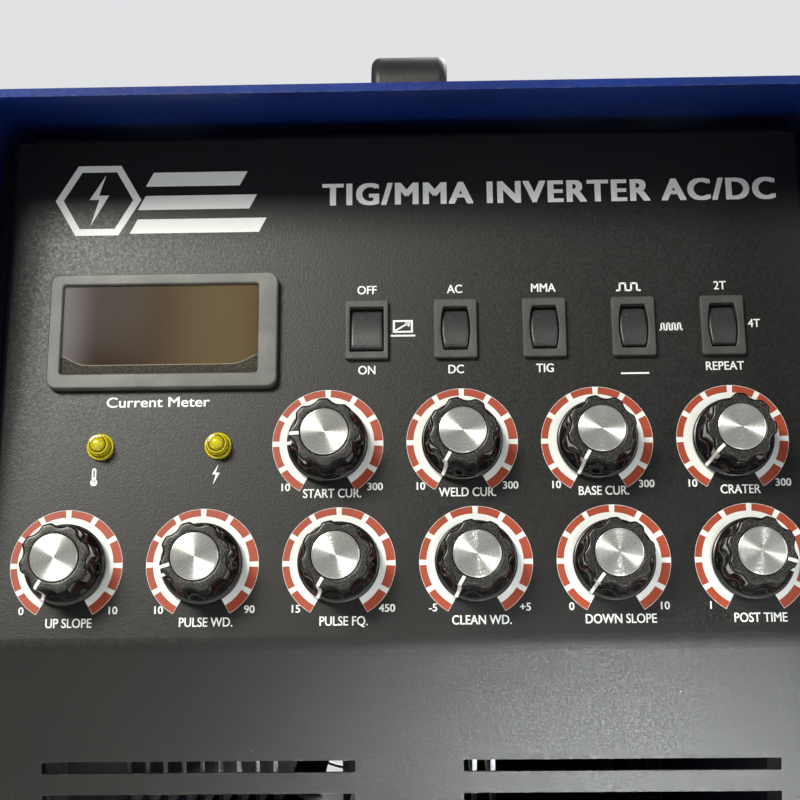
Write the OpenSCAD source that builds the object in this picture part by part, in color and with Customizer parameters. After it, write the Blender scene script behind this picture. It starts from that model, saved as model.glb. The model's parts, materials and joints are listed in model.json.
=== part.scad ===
// TIG welding machine: an upright inverter power source with a leaning control face.
// Origin: centre of the footprint, on the floor. +Z up, front at -Y, right side at +X.

/* [Housing] */
// Width over the cover's side walls
body_w = 300; // [298:1:304]
// Length of the cover, from its hood lip to its rear edge
body_l = 560; // [545:1:590]
// Height of the cover above the feet
body_h = 430; // [428:1:450]
// Thickness of the folded sheet
sheet = 1.5; // [1.2:0.1:1.6]
// Height of the rubber feet
foot_h = 14; // [12:1:20]
// How far the hood lip stands in front of the upright face
lip_inset = 6; // [4:1:10]
// How far the cover runs past the rear panel
rear_inset = 12; // [10:1:16]

/* [Control face] */
// Angle that the control face leans back from upright
lean = 15; // [12:1:18]
// Half the width of the folded front panel
panel_half = 143; // [142:0.5:144]
// Height of the control face above the lower knob row, along the face
face_up = 158; // [156:1:160]
// Distance from the lower knob row down to the bend
face_down = 27; // [26:1:30]
// Outer radius of the bend between the two faces
bend_r = 20; // [16:1:24]
// Distance between knobs in a row
knob_pitch = 46.2; // [44:0.1:47]
// Distance between the two knob rows
row_gap = 41.45; // [40:0.05:42]
// Left end of the upper knob row
row_start = -27.1; // [-28:0.1:-26]
// Height of the switch centres above the lower knob row
switch_v = 82; // [80:1:84]

/* [Knobs] */
// Diameter of the knob's skirt
skirt_d = 27.8; // [26:0.1:29]
// Diameter over the knob's lobes
lobe_d = 23.7; // [22:0.1:24]
// Number of lobes round a knob
lobes = 8; // [6:1:10]
// Height of the knob's black rim above the face
rim_h = 17.6; // [16:0.1:19]
// Diameter of the aluminium disc
disc_d = 16; // [14:0.1:17]
// Diameter of the spindle
spindle_d = 6; // [6:0.05:6.35]
// Turn of a control from end to end
knob_travel = 300; // [270:5:300]

/* [Connections] */
// Distance of the output sockets from the middle
socket_x = 95; // [88:1:96]
// Height of the output sockets and of the gas line
socket_z = 100; // [98:1:104]
// Diameter of the pin that an output socket takes
socket_bore_d = 13; // [9:0.5:13]
// Outer diameter of the gas outlet's thread
outlet_d = 16; // [14:0.5:16]
// Outer diameter of the gas inlet's nipple
inlet_d = 8; // [6:0.5:9]
// Largest cable that the gland takes
gland_bore_d = 16; // [12:0.5:18]
// Diameter of the earth stud
earth_d = 8; // [6:1:8]

/* [Rear] */
// Centre of the fan, left or right of the middle
fan_x = -45; // [-50:1:-42]
// Height of the fan's centre
fan_z = 145; // [143:1:145]
// Length of the fan's frame across its round ends
fan_d = 172; // [170:1:172]
// Angle that the breaker's lever turns through
lever_travel = 80; // [70:1:80]

/* [Hidden] */
$fn = 64;
EPS = 0.02;
// Radial gap of a turning fit, and of a screw in its hole
run = 0.05;
fit = 0.2;

front_y = -body_l / 2;
face_y = front_y + lip_inset;
rear_y = front_y + body_l - rear_inset;
cover_half = body_w / 2;
inner_half = cover_half - sheet;
top_z = foot_h + body_h;
roof_z = top_z - sheet;
tray_half = inner_half - 0.3;
tray_t = 2;
tray_z = foot_h + tray_t;
corner_r = 6;

// Centre of the lower knob row on the control face, and the bend below it
row_z = roof_z - 5 - face_up * cos(lean);
row_y = face_y + face_down * sin(lean);
bend_z = row_z - face_down * cos(lean);
bend_run = bend_r * tan(lean / 2);
// The bend is set back by this, so that it crosses the flat runs cleanly
seam = 0.03;
lip_wide = inner_half - 0.5 - panel_half + sheet;
flange_depth = 12;
edge_r = 3;
top_relief = 8;

// Each control: name, place across, place up the face, and the pointer's angle at rest
function upper(i) = row_start + i * knob_pitch;
function lower(i) = (i - 2.5) * knob_pitch;
KNOBS = [
    ["start_current", upper(0), row_gap, -92],
    ["weld_current", upper(1), row_gap, -150],
    ["base_current", upper(2), row_gap, -150],
    ["crater_current", upper(3), row_gap, -134],
    ["up_slope", lower(0), 0, -150],
    ["pulse_width", lower(1), 0, -107],
    ["pulse_frequency", lower(2), 0, -150],
    ["clean_width", lower(3), 0, -150],
    ["down_slope", lower(4), 0, -143],
    ["post_flow", lower(5), 0, 108],
];

// Each switch: name, place across, and its rocker's half width, half height and side radius (0 is straight)
switch_pitch = 31;
function switch_u(i) = -13.6 + i * switch_pitch;
wide_rocker = [5.6, 7.6, 0];
slim_rocker = [4.8, 7.4, 33];
SWITCHES = [
    ["remote", switch_u(0), wide_rocker],
    ["ac_dc", switch_u(1), slim_rocker],
    ["mma_tig", switch_u(2), slim_rocker],
    ["pulse", switch_u(3), slim_rocker],
    ["trigger_mode", switch_u(4), slim_rocker],
];
rocker_tip = 11;
rocker_pivot = -1;

switch_body = [13, 19.2];

meter_centre = [-85, 82.3];
meter_size = [80.4, 41.8];
window_centre = [-86.1, 82.9];
window_size = [69, 32.6];
// Half the size of the window's pane
glass = [35.5, 17.3];
meter_body = [76, 38];
lamp_u = [-105, -64.8];
lamp_v = 40.6;
lamp_r = 3.9;

outlet_x = 40;
control_x = [0, -40];
plate_t = 4;
plate_half = 125;
plate_low = socket_z - 40;
plate_high = socket_z + 40;

breaker_x = 95;
breaker_z = 330;
gland_z = 250;
hose_x = 128;
earth_z = 50;
fan_depth = 51;
fan_width = 150;
fan_screw_r = 81;
fan_screw_turn = 22;
guard_w = 5;

shelf_z = 232;
foot_x = 115;
foot_y = 220;
side_screw_z = foot_h + 12;
side_screw_y = [-200, 0, 200];
rear_screw_z = [150, 350];
rear_flange = 14;
handle_bolt_y = 92;

KNOB_NODES = [for (k = KNOBS) str("knob_", k[0])];
CAP_NODES = [for (k = KNOBS) str("cap_", k[0])];
ROCKER_NODES = [for (s = SWITCHES) str("rocker_", s[0])];

// ---- Frames of the faces: x across, y up the face, z out of it ----

module on_panel() {
    translate([0, row_y, row_z]) rotate([90 - lean, 0, 0]) children();
}

module on_front() {
    translate([0, face_y, 0]) rotate([90, 0, 0]) children();
}

module on_rear() {
    translate([0, rear_y, 0]) rotate([90, 0, 180]) children();
}

// A place on the rear face, given as the part's own x
module rear_at(x, z) {
    on_rear() translate([-x, z, 0]) children();
}

// ---- Shapes that repeat ----

// Plate with rounded corners, standing on z = 0
module round_plate(size, r, t) {
    linear_extrude(t) {
        square([size[0] - 2 * r, size[1]], center = true);
        square([size[0], size[1] - 2 * r], center = true);
        for (x = [-1, 1], y = [-1, 1])
            translate([x * (size[0] / 2 - r), y * (size[1] / 2 - r)]) circle(r);
    }
}

// Cylinder between two heights
module rod(r, low, high) {
    translate([0, 0, low]) cylinder(r = r, h = high - low);
}

// Hexagon bar or nut between two heights, by its width across flats
module hex(flats, low, high) {
    translate([0, 0, low]) cylinder(r = flats / sqrt(3), h = high - low, $fn = 6);
}

// Box between two corners
module block(a, b) {
    translate(a) cube(b - a);
}

// Loose hex nut round a thread
module nut(flats, thread_r, low, high) {
    difference() {
        hex(flats, low, high);
        rod(thread_r + run, low - 1, high + 1);
    }
}

// Pan-head screw: head above z = 0, shank below
module screw(r, length, head_r = 4, head_h = 2.2) {
    rod(r, -length, 0);
    rod(head_r, 0, head_h * 0.55);
    translate([0, 0, head_h * 0.55]) cylinder(r1 = head_r, r2 = head_r * 0.7, h = head_h * 0.45);
}

// Cross-section of the cover: a downward U with rounded top corners
module arch(half, top, r, low) {
    translate([-half, low]) square([2 * half, top - r - low]);
    translate([-half + r, low]) square([2 * (half - r), top - low]);
    for (s = [-1, 1])
        translate([s * (half - r), top - r]) circle(r);
}

// Runs an x-z cross-section along y from a to b
module along_y(a, b) {
    translate([0, b, 0]) rotate([90, 0, 0]) linear_extrude(b - a) children();
}

// ---- Housing ----

louvre_len = 80;
louvre_pitch = 13;
louvre_count = 10;
louvre_z = 250;
louvre_y = [-120, 20, 160];

// One pressed louvre on the right side wall: its slot, or the lip that hangs over it
module louvre_slot() {
    translate([inner_half - 1, -louvre_len / 2, -2]) cube([sheet + 4, louvre_len, 4]);
}

module louvre_lip() {
    out = 2.6;
    rotate([90, 0, 0]) translate([cover_half, 0, -louvre_len / 2 - 2]) linear_extrude(louvre_len + 4)
        polygon([[-sheet, 2], [-sheet, 4], [0, 5], [out, -1], [out, -2.5], [out - 1, -2.5],
            [out - 1, -1.2], [0, 2]]);
}

module each_louvre() {
    for (side = [0, 1], y = louvre_y, i = [0 : louvre_count - 1])
        mirror([side, 0, 0]) translate([0, y, louvre_z + i * louvre_pitch]) children();
}

module wrap_cover() {
    hem = 9;
    hem_t = 1.2;
    color([0.04, 0.14, 0.42]) difference() {
        union() {
            difference() {
                along_y(front_y, front_y + body_l) arch(cover_half, top_z, corner_r, foot_h + 1);
                along_y(front_y - 1, front_y + body_l + 1)
                    arch(inner_half, roof_z, corner_r - sheet, foot_h - 1);
            }
            difference() {
                along_y(front_y, front_y + hem) arch(inner_half, roof_z, corner_r - sheet, tray_z + 0.3);
                along_y(front_y - 1, front_y + hem + 1)
                    arch(inner_half - hem_t, roof_z - hem_t, corner_r - sheet - hem_t, foot_h - 1);
            }
            each_louvre() louvre_lip();
        }
        each_louvre() louvre_slot();
        each_side_screw() rod(2 + fit, -4, 2);
        each_roof_screw() rod(2 + fit, -4, 2);
        for (y = [-1, 1]) translate([0, y * handle_bolt_y, top_z]) rod(3 + fit, -4, 2);
    }
}

module base_tray() {
    wall_y = [face_y + 30, rear_y - 30];
    wall_h = 20;
    color([0.08, 0.08, 0.09]) difference() {
        union() {
            block([-tray_half, face_y, foot_h], [tray_half, rear_y, tray_z]);
            for (s = [0, 1])
                mirror([s, 0, 0]) block([tray_half - tray_t, wall_y[0], tray_z - EPS],
                    [tray_half, wall_y[1], tray_z + wall_h]);
        }
        each_side_screw() rod(2 + run, -8, 2);
        each_foot() rod(2.5 + run, foot_h - 1, tray_z + 1);
        for (x = [-90 : 30 : 90], y = [-150, 150])
            translate([x - 4, y - 35, foot_h - 1]) cube([8, 70, tray_t + 2]);
    }
}

// Outline of the folded front sheet across its width, with its face on y = 0
module fold_outline(half, r) {
    translate([-half, -flange_depth]) square([2 * half, flange_depth - r]);
    translate([-half + r, -flange_depth]) square([2 * (half - r), flange_depth]);
    for (s = [-1, 1])
        translate([s * (half - r), -r]) circle(r);
}

module fold_section(half) {
    difference() {
        fold_outline(half, edge_r);
        translate([0, -sheet]) fold_outline(half - sheet, edge_r - sheet);
    }
    for (s = [0, 1])
        mirror([s, 0]) translate([half - sheet, -flange_depth]) square([lip_wide, sheet]);
}

// Runs the folded section up a face, from low to high
module fold_run(low, high) {
    translate([0, high, 0]) rotate([90, 0, 0]) linear_extrude(high - low) fold_section(panel_half);
}

vent_rows = 5;
vent_pitch = 11;
vent_z = 172;
vent_in = 18;
vent_len = 105;
socket_hole_r = 19;
control_hole_r = 8.2;

module front_panel() {
    low = tray_z;
    foot_half = 132;
    foot_depth = 16;
    color([0.1, 0.1, 0.1]) difference() {
        union() {
            on_panel() {
                fold_run(bend_run - face_down - EPS, face_up - edge_r);
                top_flange();
            }
            translate([0, face_y + bend_r, bend_z - bend_run]) rotate([90, 0, -90])
                rotate_extrude(angle = lean)
                translate([bend_r - seam, 0]) mirror([1, -1]) fold_section(panel_half - seam);
            on_front() {
                fold_run(low, bend_z - bend_run + EPS);
                block([-foot_half, low, -foot_depth], [foot_half, low + sheet, -sheet + EPS]);
            }
        }
        on_panel() {
            for (k = KNOBS) translate([k[1], k[2], 0]) rod(4.5 + fit, -3, 1);
            for (s = SWITCHES) translate([s[1], switch_v, 0]) window_cut(switch_body);
            for (u = lamp_u) translate([u, lamp_v, 0]) rod(lamp_r + fit, -3, 1);
            translate([meter_centre[0], meter_centre[1], 0]) window_cut(meter_body);
        }
        on_front() {
            each_socket() rod(socket_hole_r, -3, 1);
            translate([outlet_x, socket_z, 0]) rod(outlet_d / 2 + fit, -3, 1);
            each_control_socket() rod(control_hole_r, -3, 1);
            each_plate_screw() rod(1.75 + run, -3, 1);
            for (s = [0, 1], i = [0 : vent_rows - 1])
                mirror([s, 0, 0]) translate([vent_in, vent_z + i * vent_pitch, -3]) cube([vent_len, 4, 4]);
        }
    }
}

// Cut through the sheet for a body of this size, with room all round
module window_cut(size) {
    translate([-size[0] / 2 - fit / 2, -size[1] / 2 - fit / 2, -3]) cube([size[0] + fit, size[1] + fit, 4]);
}

// Flange along the top of the control face, with relief at its two corners
module top_flange() {
    half = panel_half - top_relief;
    translate([-half, face_up, 0]) rotate([90, 0, 90]) linear_extrude(2 * half) {
        intersection() {
            translate([-edge_r, -edge_r]) difference() {
                circle(edge_r);
                circle(edge_r - sheet);
            }
            translate([-edge_r, -edge_r]) square(edge_r);
        }
        translate([-sheet, -flange_depth]) square([sheet, flange_depth - edge_r]);
    }
}

module connector_plate() {
    centre = (plate_low + plate_high) / 2;
    color([0.05, 0.05, 0.05]) on_front() difference() {
        translate([0, centre, 0]) round_plate([2 * plate_half, plate_high - plate_low], 6, plate_t);
        each_socket() rod(18 + fit, -1, plate_t + 1);
        translate([outlet_x, socket_z, 0]) rod(outlet_d / 2 + fit, -1, plate_t + 1);
        each_control_socket() rod(control_hole_r, -1, plate_t + 1);
        each_plate_screw() rod(1.75 + run, -1, plate_t + 1);
    }
}

module rear_outline(inset) {
    arch(tray_half - inset, roof_z - 0.3 - inset, corner_r - sheet - 0.3 - inset * 0.5, tray_z + inset);
}

module rear_panel() {
    color([0.1, 0.1, 0.1]) difference() {
        along_y(rear_y - rear_flange, rear_y) rear_outline(0);
        along_y(rear_y - rear_flange - 1, rear_y - sheet) rear_outline(sheet);
        each_side_screw() rod(2 + run, -8, 2);
        each_roof_screw() rod(2 + run, -8, 2);
        rear_at(fan_x, fan_z) {
            rod(75, -3, 1);
            each_fan_screw() rod(2 + fit, -3, 1);
        }
        rear_at(breaker_x, breaker_z) block([-18.2, -22.8, -3], [18.2, 22.8, 1]);
        rear_at(breaker_x, gland_z) rod(16, -3, 1);
        rear_at(hose_x, socket_z) rod(6.1, -3, 1);
        rear_at(breaker_x, earth_z) rod(earth_d / 2 + fit, -3, 1);
    }
}

module board_shelf() {
    half = tray_half - tray_t - 0.3;
    y = [-190, 200];
    leg = 30;
    color([0.7, 0.72, 0.74]) {
        difference() {
            block([-half, y[0], shelf_z], [half, y[1], shelf_z + tray_t]);
            for (px = [-1, 1], py = [-1, 1])
                translate([px * 125, py * 120 + 5, 0]) rod(6, shelf_z - 1, shelf_z + tray_t + 1);
        }
        for (s = [0, 1], edge = [y[0] + 10, y[1] - 10 - leg])
            mirror([s, 0, 0]) block([half - sheet, edge, tray_z], [half, edge + leg, shelf_z + EPS]);
    }
}

module carry_handle() {
    width = 34;
    color([0.06, 0.06, 0.06]) difference() {
        translate([-width / 2, 0, top_z]) rotate([90, 0, 90]) linear_extrude(width)
            polygon([[-108, 0], [-98, 42], [-84, 52], [84, 52], [98, 42], [108, 0],
                [78, 0], [71, 30], [66, 34], [-66, 34], [-71, 30], [-78, 0]]);
        for (y = [-1, 1]) translate([0, y * handle_bolt_y, top_z]) rod(3 + run, -1, 18);
    }
}

module rubber_feet() {
    color([0.05, 0.05, 0.05]) each_foot() difference() {
        cylinder(r1 = 14, r2 = 16, h = foot_h);
        rod(6, -1, 6);
        rod(2.5 + run, 0, foot_h + 1);
    }
}

// ---- Places of the screws ----

module each_foot() {
    for (x = [-1, 1], y = [-1, 1]) translate([x * foot_x, y * foot_y, 0]) children();
}

// Side screws of the cover: into the tray's walls and into the rear panel's flanges
module each_side_screw() {
    for (s = [0, 1]) mirror([s, 0, 0]) {
        for (y = side_screw_y)
            translate([cover_half, y, side_screw_z]) rotate([0, 90, 0]) children();
        for (z = rear_screw_z)
            translate([cover_half, rear_y - 8, z]) rotate([0, 90, 0]) children();
    }
}

module each_roof_screw() {
    for (x = [-100, 100]) translate([x, rear_y - 8, top_z]) children();
}

module each_plate_screw() {
    for (x = [-1, 1], z = [plate_low + 8, plate_high - 8])
        translate([x * (plate_half - 7), z, 0]) children();
}

module each_fan_screw() {
    for (a = [90 - fan_screw_turn, 90 + fan_screw_turn, 270 - fan_screw_turn, 270 + fan_screw_turn])
        rotate(a) translate([fan_screw_r, 0, 0]) children();
}

module each_socket() {
    for (x = [-1, 1]) translate([x * socket_x, socket_z, 0]) children();
}

module each_control_socket() {
    for (x = control_x) translate([x, socket_z, 0]) children();
}

module case_screws() {
    color([0.6, 0.6, 0.62]) {
        each_side_screw() screw(2, 6);
        each_roof_screw() screw(2, 6);
        on_front() each_plate_screw() translate([0, 0, plate_t]) screw(1.75, 9, 3.2, 2);
        rear_at(fan_x, fan_z) each_fan_screw() translate([0, 0, guard_w + 1.1]) screw(2, 56, 3.8, 2.2);
        for (y = [-1, 1])
            translate([0, y * handle_bolt_y, roof_z]) mirror([0, 0, 1]) screw(3, 16, 5.5, 4);
        each_foot() translate([0, 0, 6]) mirror([0, 0, 1]) screw(2.5, 14, 4.5, 3);
    }
}

// ---- Controls ----

// Knob of black moulding, pointer up the face, standing just clear of it
module knob_body() {
    gap = 1;
    skirt = skirt_d / 2;
    lobe = lobe_d / 2;
    scoop_r = 4.6;
    scoop_at = lobe + scoop_r - 1.5;
    difference() {
        rotate_extrude() polygon([[0, gap], [skirt, gap], [skirt, gap + 1.6], [skirt - 0.7, gap + 2.2],
            [lobe + 0.2, gap + 3.4], [lobe, gap + 4.4], [lobe, rim_h - 1.2], [lobe - 1.2, rim_h],
            [0, rim_h]]);
        for (i = [0 : lobes - 1])
            rotate((i + 0.5) * 360 / lobes + 90) translate([scoop_at, 0, 0]) rod(scoop_r, gap + 4, rim_h + 1);
        rod(disc_d / 2 + run, rim_h - 0.8, rim_h + 1);
        rod(9, gap - 1, gap + 4);
        rod(spindle_d / 2 + run, gap, rim_h - 2.6);
    }
}

module knob(k) {
    color([0.03, 0.03, 0.03]) on_panel() translate([k[1], k[2], 0]) rotate(-k[3]) knob_body();
}

// Spun disc let into the knob, and the spindle that turns with it
module cap(k) {
    color([0.85, 0.85, 0.86]) on_panel() translate([k[1], k[2], 0]) {
        rod(disc_d / 2, rim_h - 0.8, rim_h + 0.6);
        rod(spindle_d / 2, -9, rim_h - 3);
    }
}

module potentiometers() {
    color([0.55, 0.56, 0.58]) on_panel() for (k = KNOBS) translate([k[1], k[2], 0]) {
        difference() {
            union() {
                rod(12, -11.5, -sheet);
                rod(4.5, -sheet - EPS, 4.4);
                block([-6, -16, -14], [6, -8, -9]);
            }
            rod(spindle_d / 2 + run, -10, 5);
        }
        nut(11, 4.5, 0, 2.4);
    }
}

module control_board() {
    thick = 1.6;
    back = -14;
    color([0.05, 0.3, 0.12]) on_panel() {
        block([-134, -17, back - thick], [134, 57, back]);
        for (u = [-128, 128], v = [-12, 24])
            translate([u, v, 0]) rod(3, back - EPS, -sheet);
    }
}

// Rocker seen from the side, at mid travel: a crowned face over a narrower heel
module rocker_side(half) {
    crown = 1.5;
    crown_r = 34;
    steps = 12;
    face = [for (k = [0:steps]) let (y = half * (2 * k / steps - 1)) [y, crown - y * y / (2 * crown_r)]];
    polygon(concat([[-half, -1]], face, [[half, -1], [2.4, -5], [-2.4, -5]]));
}

// Opening or rocker outline: straight ends, and sides that are straight or bulge a little
module barrel_outline(rocker) {
    across = rocker[0];
    side_r = rocker[2];
    if (side_r == 0) square([2 * across, 2 * rocker[1]], center = true);
    else intersection() {
        square([2 * across, 2 * rocker[1]], center = true);
        translate([side_r - across, 0]) circle(side_r);
        translate([across - side_r, 0]) circle(side_r);
    }
}

module rocker(s) {
    half = s[2];
    pin_r = 1.2;
    color([0.12, 0.13, 0.13]) on_panel() translate([s[1], switch_v, rocker_pivot]) rotate([-rocker_tip, 0, 0])
        translate([0, 0, -rocker_pivot]) {
            intersection() {
                translate([-half[0], 0, 0]) rotate([90, 0, 90]) linear_extrude(2 * half[0])
                    rocker_side(half[1]);
                translate([0, 0, -10]) linear_extrude(20) barrel_outline(half);
            }
            translate([0, 0, rocker_pivot]) rotate([0, 90, 0])
                rod(pin_r, -half[0] - 0.7, half[0] + 0.7);
        }
}

module switch_housings() {
    bezel = [15, 21.5];
    half = switch_body / 2;
    gap = [0.3, 0.5, 0];
    color([0.13, 0.13, 0.13]) on_panel() for (s = SWITCHES) translate([s[1], switch_v, 0]) difference() {
        union() {
            round_plate(bezel, 0.8, 2);
            block([-half[0], -half[1], -14], [half[0], half[1], EPS]);
            for (v = [-6, 0, 6]) block([-3, v - 0.4, -21], [3, v + 0.4, -14 + EPS]);
        }
        translate([0, 0, -8]) linear_extrude(12) barrel_outline(s[2] + gap);
        translate([0, 0, rocker_pivot]) rotate([0, 90, 0]) rod(1.2 + run, -s[2][0] - 0.8, s[2][0] + 0.8);
    }
}

module meter_bezel() {
    proud = 3.5;
    seat = 2;
    deep = 24;
    back = meter_body / 2;
    color([0.2, 0.2, 0.19]) on_panel() difference() {
        union() {
            translate([meter_centre[0], meter_centre[1], 0]) round_plate(meter_size, 3.5, proud);
            translate([meter_centre[0], meter_centre[1], 0])
                block([-back[0], -back[1], -deep], [back[0], back[1], EPS]);
        }
        translate([window_centre[0], window_centre[1], 0]) {
            translate([0, 0, seat - 1]) round_plate(window_size, 1, proud);
            block([-glass[0], -glass[1], 2 - deep], [glass[0], glass[1], seat]);
        }
    }
}

module meter_window() {
    color([0.2, 0.15, 0.1, 0.6]) on_panel() translate([window_centre[0], window_centre[1], 0])
        block([-glass[0], -glass[1], 0.6], [glass[0], glass[1], 2]);
}

module meter_display() {
    color([0.25, 0.25, 0.22]) on_panel() translate([window_centre[0], window_centre[1], 0]) {
        block([-glass[0], -glass[1], -12], [glass[0], glass[1], -10.4]);
        for (i = [-1 : 1]) block([i * 20 - 9, -13, -10.4], [i * 20 + 9, 13, -2]);
    }
}

module indicator_lamps() {
    color([0.85, 0.75, 0.05]) on_panel() for (u = lamp_u) translate([u, lamp_v, 0]) {
        rod(lamp_r, -10, EPS);
        rod(4.65, 0, 1.6);
        cylinder(r1 = lamp_r, r2 = 3.2, h = 5);
        translate([0, 0, 4.2]) sphere(3.1);
    }
}

// ---- Front connections ----

collar_w = 22;
insert_r = 13;

module socket_housings() {
    color([0.06, 0.06, 0.06]) on_front() each_socket() {
        difference() {
            union() {
                rod(18, -9, plate_t + EPS);
                rod(25, plate_t, plate_t + 4);
                rod(21, plate_t + 3.5, collar_w);
            }
            rod(insert_r + run, -10, 11);
            rod(16.5, 10, collar_w + 1);
            for (a = [0, 180]) rotate(a) block([14, -3, 14], [18.5, 3, collar_w + 1]);
        }
        difference() {
            rod(24, -7.5, -sheet);
            rod(18 + run, -8, -1);
        }
    }
}

module socket_inserts() {
    front = 17;
    floor_w = -8;
    color([0.8, 0.62, 0.25]) on_front() each_socket() {
        difference() {
            union() {
                rod(insert_r, -12, front);
                rod(15.5, 10, 12.5);
                rod(6, -38, -11.9);
            }
            rod(socket_bore_d / 2, floor_w, front + 1);
            block([-2.2, 0, front - 9], [2.2, socket_bore_d / 2 + 3, front + 1]);
        }
        nut(19, 6, -24, -14);
    }
}

module gas_outlet() {
    r = outlet_d / 2;
    color([0.8, 0.62, 0.25]) on_front() translate([outlet_x, socket_z, 0]) {
        difference() {
            union() {
                rod(r, -10, plate_t + 1);
                hex(24, plate_t, plate_t + 5);
                rod(r, plate_t + 4, 20);
                rod(2.95, -34, -9);
            }
            rod(1.6, -35, 21);
        }
        nut(24, r, -6.5, -sheet);
    }
}

module control_sockets() {
    color([0.75, 0.75, 0.77]) on_front() each_control_socket() {
        difference() {
            union() {
                rod(8, -14, 15);
                rod(10.5, plate_t, plate_t + 2.2);
            }
            rod(6.7, 3, 16);
        }
        for (i = [0 : 4]) rotate(i * 72 + 90) translate([3.8, 0, 0]) rod(0.8, 2.9, 11);
        nut(19, 8, -4.5, -sheet);
    }
}

// ---- Rear ----

module fan_frame() {
    back = -sheet;
    deep = back - fan_depth;
    hub_r = 28;
    color([0.07, 0.07, 0.07]) rear_at(fan_x, fan_z) difference() {
        union() {
            difference() {
                intersection() {
                    rod(fan_d / 2, deep, back);
                    block([-fan_width / 2, -fan_d, deep], [fan_width / 2, fan_d, back]);
                }
                rod(73.5, deep - 1, back + 1);
            }
            for (a = [45 : 90 : 315]) rotate(a) block([hub_r - 2, -4, deep], [74.5, 4, deep + 5]);
            rod(hub_r, deep, deep + 20);
        }
        rod(3 + run, deep + 6, deep + 21);
        each_fan_screw() rod(2 + run, deep - 1, back + 1);
    }
}

module fan_rotor() {
    base = -sheet - fan_depth + 21;
    blades = 7;
    color([0.12, 0.12, 0.12]) rear_at(fan_x, fan_z) {
        rod(27, base, base + 22);
        rod(3, base - 14, base + EPS);
        for (i = [0 : blades - 1]) rotate(i * 360 / blades) intersection() {
            difference() {
                rod(72, base, base + 24);
                rod(26.5, base - 1, base + 25);
            }
            translate([50, 0, base + 12]) rotate([38, 0, 0]) cube([60, 30, 2.4], center = true);
        }
    }
}

module fan_guard() {
    wire = 2.2;
    lug_r = 4.6;
    reach = 81;
    color([0.6, 0.6, 0.62]) rear_at(fan_x, fan_z) difference() {
        union() {
            for (r = [18 : 10.4 : reach]) difference() {
                rod(r + wire / 2, guard_w - wire / 2, guard_w + wire / 2);
                rod(r - wire / 2, guard_w - wire, guard_w + wire);
            }
            for (a = [0 : 45 : 135]) rotate(a)
                block([-reach, -wire / 2, guard_w - 1.5 * wire], [reach, wire / 2, guard_w - wire / 2 + EPS]);
            each_fan_screw() rod(lug_r, 0, guard_w + wire / 2);
        }
        each_fan_screw() rod(2 + fit, -1, guard_w + 2);
    }
}

lever_w = -4;
lever_barrel = 8;

module breaker_body() {
    nose = 3;
    color([0.85, 0.85, 0.82]) rear_at(breaker_x, breaker_z) difference() {
        union() {
            block([-18, -41, -60], [18, 41, -16]);
            block([-18, -22.5, -16 - EPS], [18, 22.5, nose]);
        }
        translate([0, 0, lever_w]) rotate([0, 90, 0]) rod(lever_barrel + 0.4, -13.4, 13.4);
        translate([0, 0, lever_w]) rotate([0, 90, 0]) rod(2 + run, -16, 16);
        block([-13.4, -12, lever_w], [13.4, 12, nose + 1]);
        for (x = [-9, 9], y = [-1, 1]) translate([x, y * 34, 0]) rod(3.5, -22, -15);
    }
}

module breaker_lever() {
    color([0.1, 0.1, 0.12]) rear_at(breaker_x, breaker_z) translate([0, 0, lever_w]) {
        rotate([0, 90, 0]) rod(lever_barrel, -13, 13);
        rotate([0, 90, 0]) rod(2, -15.5, 15.5);
        rotate([lever_travel / 2, 0, 0]) block([-12, -2.2, 5], [12, 2.2, 19]);
    }
}

module cable_gland() {
    bore = gland_bore_d / 2;
    color([0.1, 0.1, 0.1]) rear_at(breaker_x, gland_z) {
        difference() {
            union() {
                rod(15.8, -12, EPS);
                hex(36, 0, 7);
                rod(17, 7 - EPS, 24);
                translate([0, 0, 24 - EPS]) cylinder(r1 = 17, r2 = 12.5, h = 4 + EPS);
            }
            rod(bore, -13, 29);
        }
        nut(36, 15.8, -7, -sheet);
    }
}

module gas_inlet() {
    color([0.8, 0.62, 0.25]) rear_at(hose_x, socket_z) {
        difference() {
            union() {
                rod(5.9, -14, EPS);
                hex(17, 0, 7);
                rod(inlet_d / 2, 7 - EPS, 26);
            }
            rod(2, -15, 27);
        }
        nut(17, 5.9, -6, -sheet);
    }
}

valve_back = -14;
valve_deep = -46;

module gas_valve() {
    color([0.65, 0.66, 0.68]) rear_at(hose_x, socket_z) difference() {
        union() {
            block([-13, -13, valve_deep], [13, 13, valve_back]);
            translate([0, 12.9, (valve_back + valve_deep) / 2]) rotate([-90, 0, 0]) rod(13, 0, 36);
            rod(2.95, valve_deep - 20, valve_deep + EPS);
        }
        rod(1.6, valve_deep - 21, valve_back + 1);
    }
}

// Hose from the valve to the outlet: straight, a turn inwards, a turn forwards, straight
module gas_hose() {
    turn = 30;
    end_y = face_y + 12;
    last_bend_y = face_y + 36;
    cross_y = last_bend_y + turn;
    first_bend_y = cross_y + turn;
    start_y = rear_y + valve_deep - 1;
    color([0.1, 0.1, 0.1]) translate([0, 0, socket_z]) {
        along_hose(hose_x, first_bend_y, start_y);
        translate([hose_x - turn, first_bend_y, 0]) rotate(-90) hose_bend(turn);
        translate([outlet_x + turn, cross_y, 0]) rotate([0, 90, 0])
            linear_extrude(hose_x - outlet_x - 2 * turn) hose_ring();
        translate([outlet_x + turn, last_bend_y, 0]) rotate(90) hose_bend(turn);
        along_hose(outlet_x, end_y, last_bend_y);
    }
}

module hose_ring() {
    difference() {
        circle(5);
        circle(3);
    }
}

module along_hose(x, a, b) {
    translate([x, b, 0]) rotate([90, 0, 0]) linear_extrude(b - a) hose_ring();
}

module hose_bend(turn) {
    rotate_extrude(angle = 90) translate([turn, 0]) hose_ring();
}

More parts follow.
